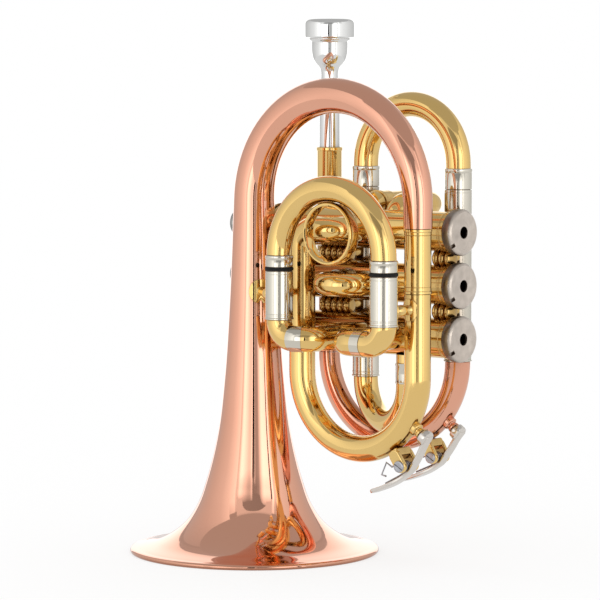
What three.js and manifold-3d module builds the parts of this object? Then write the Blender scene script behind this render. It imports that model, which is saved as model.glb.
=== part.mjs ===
// A pocket trumpet, standing on its bell, as the separate pieces it is soldered, screwed and
// slid together from. Lengths are millimetres. While it is laid out, the bell's axis is the upright
// line through zero, x runs along the valves from the finger buttons to the bottom caps, y runs from
// the bell's side to the leadpipe's side, and z runs up from the bell's mouth. At the end the whole
// horn is set over the middle of its own box.
import * as THREE from 'three';
import { mergeVertices } from 'three/addons/utils/BufferGeometryUtils.js';
import Module from 'manifold-3d';

const wasm = await Module();
wasm.setup();

// Driving dimensions
const bellRadius = 65.9;          // mouth of the bell, over its rolled rim
const bellHeight = 186.2;          // mouth to where the stem starts to bend
const bellStemRadius = 10.8;      // stem where the bend starts
const bellWall = 0.9;
const rimBead = 1.3;              // radius of the rolled rim
const rimFlat = 1.2;              // width of the flat that the rim stands on
const bellReach = 110.2;          // bell axis to the tail tube's upright leg
const bowCrownRadius = 9;
const bowEndRadius = 7.4;
const ferruleTop = 174.9;
const ferruleFoot = 142.3;
const ferruleRadius = 6.9;
const tailRadius = 6.8;
const tailNearLeg = 33.4;         // the tail tube's leg beside the bell
const tailFoot = 60.4;            // centreline height at the bottom of the tail bow
const tubeWall = 0.7;

const valvePlane = 26;            // from the bell's axis across to the valves
const valveTop = 172.3;           // height of the first valve's axis
const valvePitch = 27.3;
const casingRadius = 10.3;
const casingWall = 1.4;
const casingStart = -9;
const casingEnd = 117.5;
const casingBand = 10.9;          // radius of the raised band behind the bottom cap
const casingBandWidth = 1.6;
const capRadius = 11.9;
const topCapRadius = 11.4;
const bottomCapFace = 119.6;
const topCapFace = -11.5;
const capWall = 1.6;
const topCapSkirt = 5.5;
const bottomCapSkirt = 3.7;
const capBevel = 1;
const capRim = 0.8;
const capVent = 3.1;
const pistonLength = 50;
const pistonStart = 38;
const pistonWall = 1.2;
const stemRadius = 2.4;
const stemCollar = 5.4;
const buttonRadius = 7.4;
const buttonThickness = 4.6;
const buttonDish = 0.6;
const buttonFace = -34.4;
const springRadius = 6.8;
const springWire = 1.1;

const leadPlane = 47;             // from the bell's axis across to the leadpipe
const leadAxis = 12.2;
const leadRadius = 5.7;
const receiverTop = 213.4;
const receiverFoot = 158;
const receiverRadius = 6.6;
const receiverRing = 1.9;
const mouthpieceTop = 281.6;
const mouthpieceRimRadius = 13.4;
const mouthpieceRimDepth = 10.2;
const mouthpieceCupRadius = 9.8;
const mouthpieceCupDepth = 15;
const mouthpieceShankRadius = 5.5;
const mouthpieceWaistRadius = 4.6;
const mouthpieceTipRadius = 5;
const mouthpieceInsert = 24;
const mouthpieceWall = 1.4;
const throatRadius = 2;

const rearLeg = 99.3;             // the rear bow's far leg and the tuning slide's far leg
const rearFoot = 60.2;
const rearTop = 103.8;
const rearEndRadius = 6.7;

const slideRadius = 7.1;          // outside of every outer slide tube
const slideWall = 0.6;
const slidePlay = 0.3;            // running clearance of an inner slide leg
const legWall = 0.6;
const crookRadius = 6.5;          // gold bows on the slides

const tuningNearLeg = 37.6;
const tuningCrown = 236.8;
const tuningFerruleTop = 204;
const tuningMouth = 193;
const tuningNearFoot = 92.2;
const tuningInsert = 72;

const crookPort = 83.6;           // where the low crook comes up into the third valve
const crookFoot = 70.3;

const thirdPlane = -26.8;
const thirdNearLeg = 40.8;
const thirdCrown = 195.2;
const thirdFerruleTop = 160.2;
const thirdMouth = 152;
const thirdFoot = 127;
const thirdInsert = 21;
const thirdNearPort = 60;
const thirdFarPort = 81;
const bumperThickness = 1.8;
const ringRadius = 16;
const ringWall = 2;
const ringWidth = 7;

const secondNearPort = 51.4;
const secondSpan = 20;
const secondCrown = -9.6;         // centreline of the second slide's bow, across the horn
const secondMouth = 5.6;
const secondRadius = 6;

const firstNearPort = 52.8;
const firstSpan = 20;
const firstCrown = 63.2;
const firstMouth = 46;
const firstRise = 12.1;           // above the first valve's axis

const tailNippleAngle = -0.594;   // from straight out, in turns of the bow round its centre, in radians
const rearNippleAngle = -0.7;

const seatGap = 0.3;              // between soldered or seated neighbours
const pistonPlay = 0.3;
const kneeRadius = 9;             // centreline bend of a knuckle
const weld = 0.0001;
const overrun = 3;

// Counts
const tubeSides = 14;
const bowSides = 18;
const bellSides = 36;
const valveSides = 16;
const mouthpieceSides = 18;
const kneeSteps = 3;              // steps in a quarter turn of a knuckle
const bowSteps = 5;               // steps in a quarter turn of a bow

// Finishes, as colour, roughness and metalness
const finishes = {
  rose: [0xd99a80, 0.12, 1],
  gold: [0xd8b466, 0.12, 1],
  nickel: [0xbdb9b0, 0.25, 1],
  satin: [0xaaa49c, 0.4, 1],
  silver: [0xe4e4e4, 0.08, 1],
  steel: [0x8c8c90, 0.3, 1],
  rubber: [0x101010, 0.7, 0],
  cork: [0x9a6b3f, 0.9, 0],
};

const horn = new THREE.Group();

// Welds a geometry into one closed skin of positions, with every face pointing out
function closed(geometry) {
  const bare = new THREE.BufferGeometry();
  bare.setAttribute('position', geometry.getAttribute('position').clone());
  if (geometry.index) bare.setIndex(geometry.index.clone());
  const welded = mergeVertices(bare, weld);
  const corners = welded.getAttribute('position');
  const index = welded.index.array;
  const faces = [];
  const [a, b, c] = [new THREE.Vector3(), new THREE.Vector3(), new THREE.Vector3()];
  let volume = 0;
  for (let i = 0; i < index.length; i += 3) {
    const [i0, i1, i2] = [index[i], index[i + 1], index[i + 2]];
    if (i0 === i1 || i1 === i2 || i2 === i0) continue;
    faces.push(i0, i1, i2);
    a.fromBufferAttribute(corners, i0);
    b.fromBufferAttribute(corners, i1);
    c.fromBufferAttribute(corners, i2);
    volume += a.dot(b.cross(c));
  }
  if (volume < 0) {
    for (let i = 0; i < faces.length; i += 3) [faces[i], faces[i + 1]] = [faces[i + 1], faces[i]];
  }
  welded.setIndex(faces);
  return welded;
}

function toSolid(geometry) {
  const skin = closed(geometry);
  return new wasm.Manifold(new wasm.Mesh({
    numProp: 3,
    vertProperties: new Float32Array(skin.getAttribute('position').array),
    triVerts: new Uint32Array(skin.index.array),
  }));
}

function toGeometry(solid) {
  const mesh = solid.getMesh();
  const geometry = new THREE.BufferGeometry();
  geometry.setAttribute('position', new THREE.BufferAttribute(new Float32Array(mesh.vertProperties), 3));
  geometry.setIndex(new THREE.BufferAttribute(new Uint32Array(mesh.triVerts), 1));
  return geometry;
}

const joined = (...parts) => toGeometry(parts.map(toSolid).reduce((whole, next) => whole.add(next)));
const carved = (body, ...tools) =>
  toGeometry(tools.map(toSolid).reduce((rest, tool) => rest.subtract(tool), toSolid(body)));

function place(name, finish, geometry) {
  const [color, roughness, metalness] = finishes[finish];
  const material = new THREE.MeshStandardMaterial({ color, roughness, metalness });
  const mesh = new THREE.Mesh(closed(geometry), material);
  mesh.name = name;
  horn.add(mesh);
  return mesh;
}

const at = (x, y, z) => new THREE.Vector3(x, y, z);
const alongX = at(1, 0, 0);
const alongY = at(0, 1, 0);
const alongZ = at(0, 0, 1);

// A turned piece: its profile is pairs of radius and height, laid along an axis from an origin
function turned(profile, origin, axis, sides = valveSides) {
  const lathe = new THREE.LatheGeometry(profile.map(([r, h]) => new THREE.Vector2(r, h)), sides);
  const turn = new THREE.Quaternion().setFromUnitVectors(alongY, axis.clone().normalize());
  return lathe.applyQuaternion(turn).translate(origin.x, origin.y, origin.z);
}

const rod = (radius, origin, axis, length, sides = valveSides) =>
  turned([[0, 0], [radius, 0], [radius, length], [0, length]], origin, axis, sides);

const sleeve = (outer, inner, origin, axis, length, sides = valveSides) =>
  turned([[inner, 0], [outer, 0], [outer, length], [inner, length], [inner, 0]], origin, axis, sides);

// Stations along a route of straight runs whose corners are rounded to the radii given
function route(points, radii, steps = kneeSteps) {
  const stations = [];
  const push = (point, tangent) => {
    const last = stations[stations.length - 1];
    if (last && last.point.distanceTo(point) < weld) return;
    stations.push({ point: point.clone(), tangent: tangent.clone().normalize() });
  };
  push(points[0], points[1].clone().sub(points[0]));
  for (let i = 1; i < points.length - 1; i += 1) {
    const into = points[i].clone().sub(points[i - 1]).normalize();
    const out = points[i + 1].clone().sub(points[i]).normalize();
    const angle = into.angleTo(out);
    const radius = radii[i - 1];
    const start = points[i].clone().addScaledVector(into, -radius * Math.tan(angle / 2));
    const inward = out.clone().addScaledVector(into, -out.dot(into)).normalize();
    const count = Math.max(1, Math.round((steps * angle) / (Math.PI / 2)));
    for (let step = 0; step <= count; step += 1) {
      const turn = (angle * step) / count;
      const point = start.clone()
        .addScaledVector(into, radius * Math.sin(turn))
        .addScaledVector(inward, radius * (1 - Math.cos(turn)));
      const tangent = into.clone().multiplyScalar(Math.cos(turn)).addScaledVector(inward, Math.sin(turn));
      push(point, tangent);
    }
  }
  const [before, last] = points.slice(-2);
  push(last, last.clone().sub(before));
  return stations;
}

// A tube through stations. Its outside radius is a function of the share of the length already run,
// and its bore has half as many sides. A wall as thick as the radius leaves the tube solid
function pipe(stations, radiusAt, wall, sides = tubeSides) {
  const runs = [0];
  for (let i = 1; i < stations.length; i += 1) {
    runs.push(runs[i - 1] + stations[i].point.distanceTo(stations[i - 1].point));
  }
  const whole = runs[runs.length - 1];
  const frame = new THREE.Vector3();
  const first = stations[0].tangent;
  const steep = Math.abs(first.z) > Math.max(Math.abs(first.x), Math.abs(first.y));
  frame.crossVectors(steep ? alongX : alongZ, first).normalize();
  const points = [];
  const faces = [];
  const bore = sides / 2;
  const perStation = sides + bore;
  stations.forEach((station, i) => {
    if (i > 0) {
      const turn = new THREE.Quaternion().setFromUnitVectors(stations[i - 1].tangent, station.tangent);
      frame.applyQuaternion(turn);
    }
    const side = frame.clone();
    const up = new THREE.Vector3().crossVectors(station.tangent, side);
    const outer = radiusAt(runs[i] / whole);
    for (const [count, radius] of [[sides, outer], [bore, Math.max(outer - wall, 0)]]) {
      for (let k = 0; k < count; k += 1) {
        const angle = (2 * Math.PI * k) / count;
        const point = station.point.clone()
          .addScaledVector(side, radius * Math.cos(angle))
          .addScaledVector(up, radius * Math.sin(angle));
        points.push(point.x, point.y, point.z);
      }
    }
  });
  const outerAt = (i, k) => i * perStation + (k % sides);
  const innerAt = (i, k) => i * perStation + sides + (k % bore);
  for (let i = 0; i < stations.length - 1; i += 1) {
    for (let k = 0; k < sides; k += 1) {
      faces.push(outerAt(i, k), outerAt(i, k + 1), outerAt(i + 1, k + 1));
      faces.push(outerAt(i, k), outerAt(i + 1, k + 1), outerAt(i + 1, k));
    }
    for (let k = 0; k < bore; k += 1) {
      faces.push(innerAt(i, k), innerAt(i + 1, k + 1), innerAt(i, k + 1));
      faces.push(innerAt(i, k), innerAt(i + 1, k), innerAt(i + 1, k + 1));
    }
  }
  for (const [i, flip] of [[0, false], [stations.length - 1, true]]) {
    for (let k = 0; k < bore; k += 1) {
      const ring = [
        [outerAt(i, 2 * k), innerAt(i, k), outerAt(i, 2 * k + 1)],
        [outerAt(i, 2 * k + 1), innerAt(i, k), innerAt(i, k + 1)],
        [outerAt(i, 2 * k + 1), innerAt(i, k + 1), outerAt(i, 2 * k + 2)],
      ];
      for (const [p, q, r] of ring) faces.push(...(flip ? [p, r, q] : [p, q, r]));
    }
  }
  const geometry = new THREE.BufferGeometry();
  geometry.setAttribute('position', new THREE.Float32BufferAttribute(points, 3));
  geometry.setIndex(faces);
  return geometry;
}

// A solid wire through points, for springs
function wire(points, radius, sides) {
  const stations = points.map((point, i) => ({
    point,
    tangent: points[Math.min(i + 1, points.length - 1)].clone().sub(points[Math.max(i - 1, 0)]).normalize(),
  }));
  const side = new THREE.Vector3();
  side.crossVectors(stations[0].tangent, alongY).normalize();
  const corners = [];
  const faces = [];
  stations.forEach(({ point, tangent }, i) => {
    if (i > 0) {
      side.applyQuaternion(new THREE.Quaternion().setFromUnitVectors(stations[i - 1].tangent, tangent));
    }
    const up = new THREE.Vector3().crossVectors(tangent, side);
    for (let k = 0; k < sides; k += 1) {
      const angle = (2 * Math.PI * k) / sides;
      const corner = point.clone()
        .addScaledVector(side, radius * Math.cos(angle))
        .addScaledVector(up, radius * Math.sin(angle));
      corners.push(corner.x, corner.y, corner.z);
      if (i === 0) continue;
      const [low, high, next] = [(i - 1) * sides, i * sides, (k + 1) % sides];
      faces.push(low + k, low + next, high + next, low + k, high + next, high + k);
    }
  });
  const last = (stations.length - 1) * sides;
  for (let k = 1; k < sides - 1; k += 1) faces.push(0, k + 1, k, last, last + k, last + k + 1);
  const geometry = new THREE.BufferGeometry();
  geometry.setAttribute('position', new THREE.Float32BufferAttribute(corners, 3));
  geometry.setIndex(faces);
  return geometry;
}

const steady = (radius) => () => radius;
const taper = (start, end) => (share) => start + (end - start) * share;

// Bell: a spun flare on a drawn stem, its edge rolled round a wire and flat where it stands
const flareShares = [
  [0.0311, 0.7728], [0.0886, 0.5432], [0.1461, 0.4423], [0.2035, 0.3859], [0.3464, 0.2891],
  [0.4893, 0.2407], [0.717, 0.197], [0.9157, 0.1725],
];
const flareOutside = flareShares.map(([h, r]) => [r * bellRadius, h * bellHeight]);
const flareInside = flareOutside.map(([r, h]) => [r - bellWall, h + (bellWall * h) / bellHeight]).reverse();
const bellEdge = bellRadius - rimBead;
place('bell_flare', 'rose', turned([
  [bellEdge - rimFlat / 2, 0], [bellEdge + rimFlat / 2, 0], [bellRadius, rimBead * 0.9],
  [bellEdge + rimFlat / 2, 2 * rimBead], [bellEdge - rimFlat, 2 * rimBead],
  ...flareOutside, [bellStemRadius, bellHeight], [bellStemRadius - bellWall, bellHeight],
  ...flareInside, [bellEdge - 2 * rimFlat, rimBead * 0.9], [bellEdge - rimFlat / 2, 0],
], at(0, 0, 0), alongZ, bellSides));

// Bell bow: the stem carried on over the top and down to the tail, narrowing all the way
const bowStart = bellHeight + seatGap;
const bellBowCorner = bowStart + bellReach / 2;
const bowRadiusAt = (share) => (share < 0.5
  ? bellStemRadius + (bowCrownRadius - bellStemRadius) * 2 * share
  : bowCrownRadius + (bowEndRadius - bowCrownRadius) * (2 * share - 1));
place('bell_bow', 'rose', pipe(route([
  at(0, 0, bowStart), at(0, 0, bellBowCorner), at(bellReach, 0, bellBowCorner),
  at(bellReach, 0, ferruleTop + seatGap),
], [bellReach / 2, bellReach / 2], bowSteps), bowRadiusAt, bellWall, bowSides));

// Ferrule: the sleeve that joins the bell to its tail, with a rolled ring at each end
const ferruleRing = 0.35;
const ferruleRingWidth = 1.4;
place('bell_ferrule', 'gold', turned([
  [tailRadius - tubeWall, 0], [ferruleRadius + ferruleRing, 0],
  [ferruleRadius + ferruleRing, ferruleRingWidth], [ferruleRadius, ferruleRingWidth],
  [ferruleRadius, ferruleTop - ferruleFoot - ferruleRingWidth],
  [ferruleRadius + ferruleRing, ferruleTop - ferruleFoot - ferruleRingWidth],
  [ferruleRadius + ferruleRing, ferruleTop - ferruleFoot],
  [tailRadius - tubeWall, ferruleTop - ferruleFoot], [tailRadius - tubeWall, 0],
], at(bellReach, 0, ferruleFoot), alongZ, tubeSides));

// Drain nipple: a short turned tower on a bow, drilled through into its bore
const nippleRadius = 3;
const nippleRise = 4.6;           // above the bow's skin
const drainRadius = 1.5;
function drainNipple(centre, bend, skin, angle) {
  const outward = at(Math.cos(angle), 0, Math.sin(angle));
  const foot = centre.clone().addScaledVector(outward, bend + skin - tubeWall);
  const rise = tubeWall + nippleRise;
  const tower = turned([
    [0, 0], [nippleRadius * 1.2, 0], [nippleRadius * 1.2, tubeWall * 3], [nippleRadius * 0.8, tubeWall * 4],
    [nippleRadius, rise * 0.7], [nippleRadius, rise], [0, rise],
  ], foot, outward, tubeSides);
  const drain = rod(drainRadius, centre.clone().addScaledVector(outward, bend), outward,
    skin + nippleRise + overrun, tubeSides / 2);
  return { tower, drain };
}

// Tail bow: down from the ferrule, round the bottom and up to the knuckle of the first valve
const casingTool = (height) => rod(casingRadius + seatGap, at(casingStart, valvePlane, height), alongX,
  casingEnd - casingStart);
const valveHeights = [valveTop, valveTop - valvePitch, valveTop - 2 * valvePitch];
const bandWidth = 2.2;
const bellPort = tailNearLeg + 2 * kneeRadius + bandWidth * 2;
const tailEnd = tailNearLeg + kneeRadius + bandWidth;
const tailBend = (bellReach - tailNearLeg) / 2;
const tailRoute = route([
  at(bellReach, 0, ferruleFoot - seatGap), at(bellReach, 0, tailFoot), at(tailNearLeg, 0, tailFoot),
  at(tailNearLeg, 0, valveTop), at(tailEnd, 0, valveTop),
], [tailBend, tailBend, kneeRadius], bowSteps);
const tailCentre = at(tailNearLeg + tailBend, 0, tailFoot + tailBend);
const tailNipple = drainNipple(tailCentre, tailBend, tailRadius, tailNippleAngle);
place('tail_bow', 'gold', carved(
  joined(pipe(tailRoute, steady(tailRadius), tubeWall), tailNipple.tower), tailNipple.drain));

const casingFace = valvePlane - casingRadius;
place('bell_knuckle', 'gold', carved(pipe(route([
  at(tailEnd + seatGap, 0, valveTop), at(bellPort, 0, valveTop),
  at(bellPort, casingFace + overrun, valveTop),
], [kneeRadius]), steady(tailRadius), tubeWall), casingTool(valveTop)));

// Valves: three casings side by side, each with its caps, piston, spring, stem and button
const casingBore = casingRadius - casingWall;
const pistonRadius = casingBore - pistonPlay;
const stemHole = stemRadius + pistonPlay;
const threadRadius = casingRadius - casingWall / 2;
const casingLength = casingEnd - casingStart;
const bandEnd = casingLength - bottomCapSkirt - seatGap;
const casing = (height) => turned([
  [casingBore, 0], [threadRadius, 0], [threadRadius, topCapSkirt + seatGap],
  [casingRadius, topCapSkirt + seatGap], [casingRadius, bandEnd - casingBandWidth],
  [casingBand, bandEnd - casingBandWidth], [casingBand, bandEnd], [threadRadius, bandEnd],
  [threadRadius, casingLength], [casingBore, casingLength], [casingBore, 0],
], at(casingStart, valvePlane, height), alongX);
place('casing_1', 'gold', casing(valveHeights[0]));
place('casing_3', 'gold', casing(valveHeights[2]));

// Spacers: rods turned into rows of beads, which lie between the casings, each with a stay out to
// one of the tuning slide's tubes
const spacerRadius = 4.6;
const spacerNeck = 3.1;
const spacerPitch = 4;            // bead to bead
const spacerNear = 25.4;
const spacerFar = 101;
const nearBeadCount = 5;
const farBeadCount = 3;
const beadShares = [0.3, 0.7];    // where a bead is full, between one neck and the next
const stayRadius = 2.8;
const stayNear = tuningNearLeg;
const stayFar = 103.4;
const middleHeight = valveHeights[1];
const bandTool = (height) => rod(casingBand + seatGap,
  at(casingStart + bandEnd - casingBandWidth - seatGap, valvePlane, height), alongX,
  casingBandWidth + 2 * seatGap);
const middleTool = rod(threadRadius, at(casingStart, valvePlane, middleHeight), alongX, casingLength);
function spacer(x, beads, toward) {
  const profile = [[0, 0]];
  for (let bead = 0; bead < beads; bead += 1) {
    const neck = bead * spacerPitch;
    profile.push([spacerNeck, neck],
      ...beadShares.map((share) => [spacerRadius, neck + share * spacerPitch]));
  }
  profile.push([spacerNeck, beads * spacerPitch], [0, beads * spacerPitch]);
  const between = at(x, valvePlane, middleHeight + (toward * valvePitch) / 2);
  const neighbour = middleHeight + toward * valvePitch;
  const row = turned(profile, between, alongX, tubeSides);
  return carved(row, middleTool, casingTool(neighbour), bandTool(neighbour));
}
const stay = (x, leg, toward) => carved(
  rod(stayRadius, at(x, valvePlane, middleHeight + (toward * valvePitch) / 2), alongY,
    leadPlane - valvePlane, tubeSides),
  rod(slideRadius + seatGap, at(leg, leadPlane, valveHeights[2]), alongZ, 2 * valvePitch, tubeSides),
);
place('casing_2', 'gold', joined(casing(middleHeight), ...[1, -1].flatMap((toward) => [
  spacer(spacerNear, nearBeadCount, toward), stay(stayNear, tuningNearLeg, toward),
  spacer(spacerFar, farBeadCount, toward), stay(stayFar, rearLeg, toward),
])));

valveHeights.forEach((height, i) => {
  const number = i + 1;
  const centre = (x) => at(x, valvePlane, height);
  const skirtBore = threadRadius + seatGap;
  const topDepth = casingStart - topCapFace - seatGap;
  place(`top_cap_${number}`, 'nickel', turned([
    [stemHole, 0], [topCapRadius - 3 * capBevel, 0], [topCapRadius, 3 * capBevel],
    [topCapRadius, topDepth + topCapSkirt], [skirtBore, topDepth + topCapSkirt], [skirtBore, topDepth],
    [stemHole, topDepth], [stemHole, 0],
  ], centre(topCapFace), alongX));
  const bottomDepth = bottomCapFace - casingEnd - seatGap;
  place(`bottom_cap_${number}`, 'satin', turned([
    [capVent, 0], [capRadius - capBevel - capRim, 0], [capRadius - capBevel, capRim / 4],
    [capRadius, capBevel + capRim / 4], [capRadius, bottomDepth + bottomCapSkirt],
    [skirtBore, bottomDepth + bottomCapSkirt], [skirtBore, bottomDepth], [casingBore, bottomDepth],
    [casingBore, capWall], [capVent, capWall], [capVent, 0],
  ], centre(bottomCapFace), at(-1, 0, 0)));
  place(`piston_${number}`, 'nickel', turned([
    [stemRadius, 0], [pistonRadius, 0], [pistonRadius, pistonLength],
    [pistonRadius - pistonWall, pistonLength], [pistonRadius - pistonWall, 2 * pistonWall],
    [stemRadius, 2 * pistonWall], [stemRadius, 0],
  ], centre(pistonStart), alongX));

  // The stem stands in the button and in the piston's web, and its collar stops under the top cap
  const socket = buttonThickness / 2;
  const stemStart = buttonFace + buttonThickness - socket;
  const collar = casingStart + seatGap - stemStart;
  const neck = pistonStart - seatGap - stemStart;
  const studRadius = stemRadius - seatGap;
  place(`valve_stem_${number}`, 'nickel', turned([
    [0, 0], [stemRadius, 0], [stemRadius, collar], [stemCollar, collar], [stemCollar, collar + pistonWall],
    [stemRadius, collar + pistonWall], [stemRadius, neck], [studRadius, neck],
    [studRadius, neck + 3 * pistonWall], [0, neck + 3 * pistonWall],
  ], centre(stemStart), alongX));
  place(`finger_button_${number}`, 'nickel', turned([
    [0, buttonDish], [buttonRadius * 0.72, buttonDish], [buttonRadius * 0.82, 0],
    [buttonRadius - buttonDish, 0], [buttonRadius, buttonDish], [buttonRadius, buttonThickness / 2],
    [buttonRadius * 0.6, buttonThickness],
    [stemHole, buttonThickness], [stemHole, buttonThickness - socket - seatGap],
    [0, buttonThickness - socket - seatGap],
  ], centre(buttonFace), alongX));
  const springStart = pistonStart + 2 * pistonWall + seatGap;
  place(`valve_spring_${number}`, 'steel', sleeve(springRadius, springRadius - springWire,
    centre(springStart), alongX, bottomCapFace - capWall - seatGap - springStart));
});

// Mouthpiece, its receiver and the leadpipe
const lead = (z) => at(leadAxis, leadPlane, z);
const shankTop = mouthpieceTop - mouthpieceRimDepth - mouthpieceCupDepth;
const shankFoot = receiverTop - mouthpieceInsert;
const rimEdge = 1.8;
const rimUnder = mouthpieceTop - mouthpieceRimDepth;
const cupBore = mouthpieceCupRadius - mouthpieceWall;
place('mouthpiece', 'silver', turned([
  [throatRadius, shankFoot], [mouthpieceTipRadius, shankFoot],
  [mouthpieceShankRadius, receiverTop + seatGap],
  [mouthpieceShankRadius, shankTop - mouthpieceCupDepth], [mouthpieceWaistRadius, shankTop - rimEdge],
  [mouthpieceCupRadius * 0.62, shankTop + rimEdge * 0.6],
  [mouthpieceCupRadius * 0.86, shankTop + mouthpieceCupDepth * 0.3],
  [mouthpieceCupRadius, shankTop + mouthpieceCupDepth * 0.62], [mouthpieceCupRadius, rimUnder - rimEdge],
  [mouthpieceRimRadius - rimEdge, rimUnder - rimEdge / 2], [mouthpieceRimRadius, rimUnder + rimEdge / 3],
  [mouthpieceRimRadius, mouthpieceTop - rimEdge * 1.6], [mouthpieceRimRadius - rimEdge, mouthpieceTop],
  [mouthpieceCupRadius, mouthpieceTop], [cupBore, mouthpieceTop - rimEdge], [cupBore, rimUnder],
  [cupBore * 0.6, shankTop + mouthpieceCupDepth * 0.45], [throatRadius, shankTop], [throatRadius, shankFoot],
], lead(0), alongZ, mouthpieceSides));

const receiverBoreTop = mouthpieceShankRadius + seatGap;
const receiverBoreFoot = mouthpieceTipRadius + seatGap;
place('mouthpiece_receiver', 'gold', turned([
  [leadRadius - tubeWall, receiverFoot], [receiverRadius, receiverFoot],
  [receiverRadius, receiverTop - receiverRing], [receiverRadius + ferruleRing, receiverTop - receiverRing],
  [receiverRadius + ferruleRing, receiverTop], [receiverBoreTop, receiverTop], [receiverBoreFoot, shankFoot],
  [leadRadius - tubeWall, shankFoot - overrun], [leadRadius - tubeWall, receiverFoot],
], lead(0), alongZ, mouthpieceSides));
place('leadpipe', 'rose', pipe(route([lead(receiverFoot - seatGap), lead(rearTop + seatGap)], []),
  steady(leadRadius), tubeWall));

// Rear bow: rose brass from the leadpipe round the bottom, widening to the tuning slide's outer tube
const rearBend = (rearLeg - leadAxis) / 2;
const rearRoute = route([
  lead(rearTop), lead(rearFoot), at(rearLeg, leadPlane, rearFoot), at(rearLeg, leadPlane, rearTop),
], [rearBend, rearBend], bowSteps);
const rearCentre = at(leadAxis + rearBend, leadPlane, rearFoot + rearBend);
const rearRadiusAt = taper(leadRadius, rearEndRadius);
const rearKeyShare = 0.75;        // of the way round the bow, where the water key stands
const rearSkin = rearRadiusAt(rearKeyShare);
const rearNipple = drainNipple(rearCentre, rearBend, rearSkin, rearNippleAngle);
place('rear_bow', 'rose', carved(
  joined(pipe(rearRoute, rearRadiusAt, tubeWall), rearNipple.tower), rearNipple.drain));

// Outer slide tube, with its rolled beads, between two points
const beadWidth = 1.2;
function outerTube(start, end) {
  const length = start.distanceTo(end);
  const axis = end.clone().sub(start);
  const bore = slideRadius - slideWall;
  return turned([
    [bore, 0], [slideRadius + ferruleRing, 0], [slideRadius + ferruleRing, beadWidth],
    [slideRadius, beadWidth * 1.5], [slideRadius, length], [bore, length], [bore, 0],
  ], start, axis, tubeSides);
}

// Inner slide leg: it runs inside the outer tube and carries the ferrule that meets the bow
const legRadius = slideRadius - slideWall - slidePlay;
function innerLeg(mouth, axis, insert, collar) {
  const bore = legRadius - legWall;
  return turned([
    [bore, -insert], [legRadius, -insert], [legRadius, seatGap], [slideRadius, seatGap],
    [slideRadius, collar], [bore, collar], [bore, -insert],
  ], mouth, axis, tubeSides);
}

// Tuning slide
const tuningBend = (rearLeg - tuningNearLeg) / 2;
place('tuning_tube_near', 'nickel', outerTube(at(tuningNearLeg, leadPlane, tuningNearFoot + seatGap),
  at(tuningNearLeg, leadPlane, tuningMouth)));
place('tuning_tube_far', 'nickel', outerTube(at(rearLeg, leadPlane, rearTop + seatGap),
  at(rearLeg, leadPlane, tuningMouth)));
const tuningCollar = tuningFerruleTop - tuningMouth;
const legOverlap = 1;
const tuningSpring = tuningFerruleTop - legOverlap;
place('tuning_slide', 'gold', joined(
  pipe(route([
    at(tuningNearLeg, leadPlane, tuningSpring), at(tuningNearLeg, leadPlane, tuningCrown),
    at(rearLeg, leadPlane, tuningCrown), at(rearLeg, leadPlane, tuningSpring),
  ], [tuningBend, tuningBend], bowSteps), steady(crookRadius), tubeWall),
  ...[tuningNearLeg, rearLeg].map((x) =>
    innerLeg(at(x, leadPlane, tuningMouth), alongZ, tuningInsert, tuningCollar)),
));

// Low crook: from the near tuning tube down, across and up into the third valve, half an oval
const crookSpring = tuningNearFoot - seatGap;
const crookRun = at(crookPort - tuningNearLeg, valvePlane - leadPlane, 0);
const crookStations = [{ point: at(tuningNearLeg, leadPlane, tuningNearFoot), tangent: at(0, 0, -1) }];
for (let step = 0; step <= 2 * bowSteps; step += 1) {
  const turn = (Math.PI * step) / (2 * bowSteps);
  crookStations.push({
    point: at(tuningNearLeg, leadPlane, crookSpring - (crookSpring - crookFoot) * Math.sin(turn))
      .addScaledVector(crookRun, (1 - Math.cos(turn)) / 2),
    tangent: at(0, 0, -(crookSpring - crookFoot) * Math.cos(turn))
      .addScaledVector(crookRun, Math.sin(turn) / 2).normalize(),
  });
}
crookStations.push({
  point: at(crookPort, valvePlane, valveHeights[2] - casingRadius + overrun), tangent: alongZ,
});
place('low_crook', 'gold', carved(
  pipe(crookStations, steady(crookRadius), tubeWall), casingTool(valveHeights[2])));

// Third valve slide, in front of the bell's tail, with its finger ring
const thirdFarLeg = bellReach - ferruleRing;
const third = (x, z) => at(x, thirdPlane, z);
const thirdTube = (x) => outerTube(third(x, thirdFoot + seatGap), third(x, thirdMouth));
place('third_tube_near', 'nickel', thirdTube(thirdNearLeg));
place('third_tube_far', 'nickel', thirdTube(thirdFarLeg));
const thirdKnee = thirdFoot - valveHeights[2];
const thirdKnuckle = (leg, port) => carved(pipe(route([
  third(leg, thirdFoot), third(leg, valveHeights[2]), third(port, valveHeights[2]),
  at(port, casingFace + overrun, valveHeights[2]),
], [thirdKnee, kneeRadius]), steady(crookRadius), tubeWall), casingTool(valveHeights[2]));
place('third_knuckle_near', 'gold', thirdKnuckle(thirdNearLeg, thirdNearPort));
place('third_knuckle_far', 'gold', thirdKnuckle(thirdFarLeg, thirdFarPort));
const bumperTop = thirdMouth + bumperThickness + 2 * seatGap;
for (const [side, x] of [['near', thirdNearLeg], ['far', thirdFarLeg]]) {
  place(`third_bumper_${side}`, 'rubber', sleeve(slideRadius + ferruleRing, legRadius + seatGap,
    third(x, thirdMouth + seatGap), alongZ, bumperThickness, tubeSides));
  place(`third_leg_${side}`, 'nickel',
    innerLeg(third(x, bumperTop - seatGap), alongZ, thirdInsert, thirdFerruleTop - bumperTop + seatGap));
}
const thirdBend = (thirdFarLeg - thirdNearLeg) / 2;
place('third_slide_bow', 'gold', pipe(route([
  third(thirdNearLeg, thirdFerruleTop + seatGap), third(thirdNearLeg, thirdCrown),
  third(thirdFarLeg, thirdCrown), third(thirdFarLeg, thirdFerruleTop + seatGap),
], [thirdBend, thirdBend], bowSteps), steady(crookRadius), tubeWall));
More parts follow.
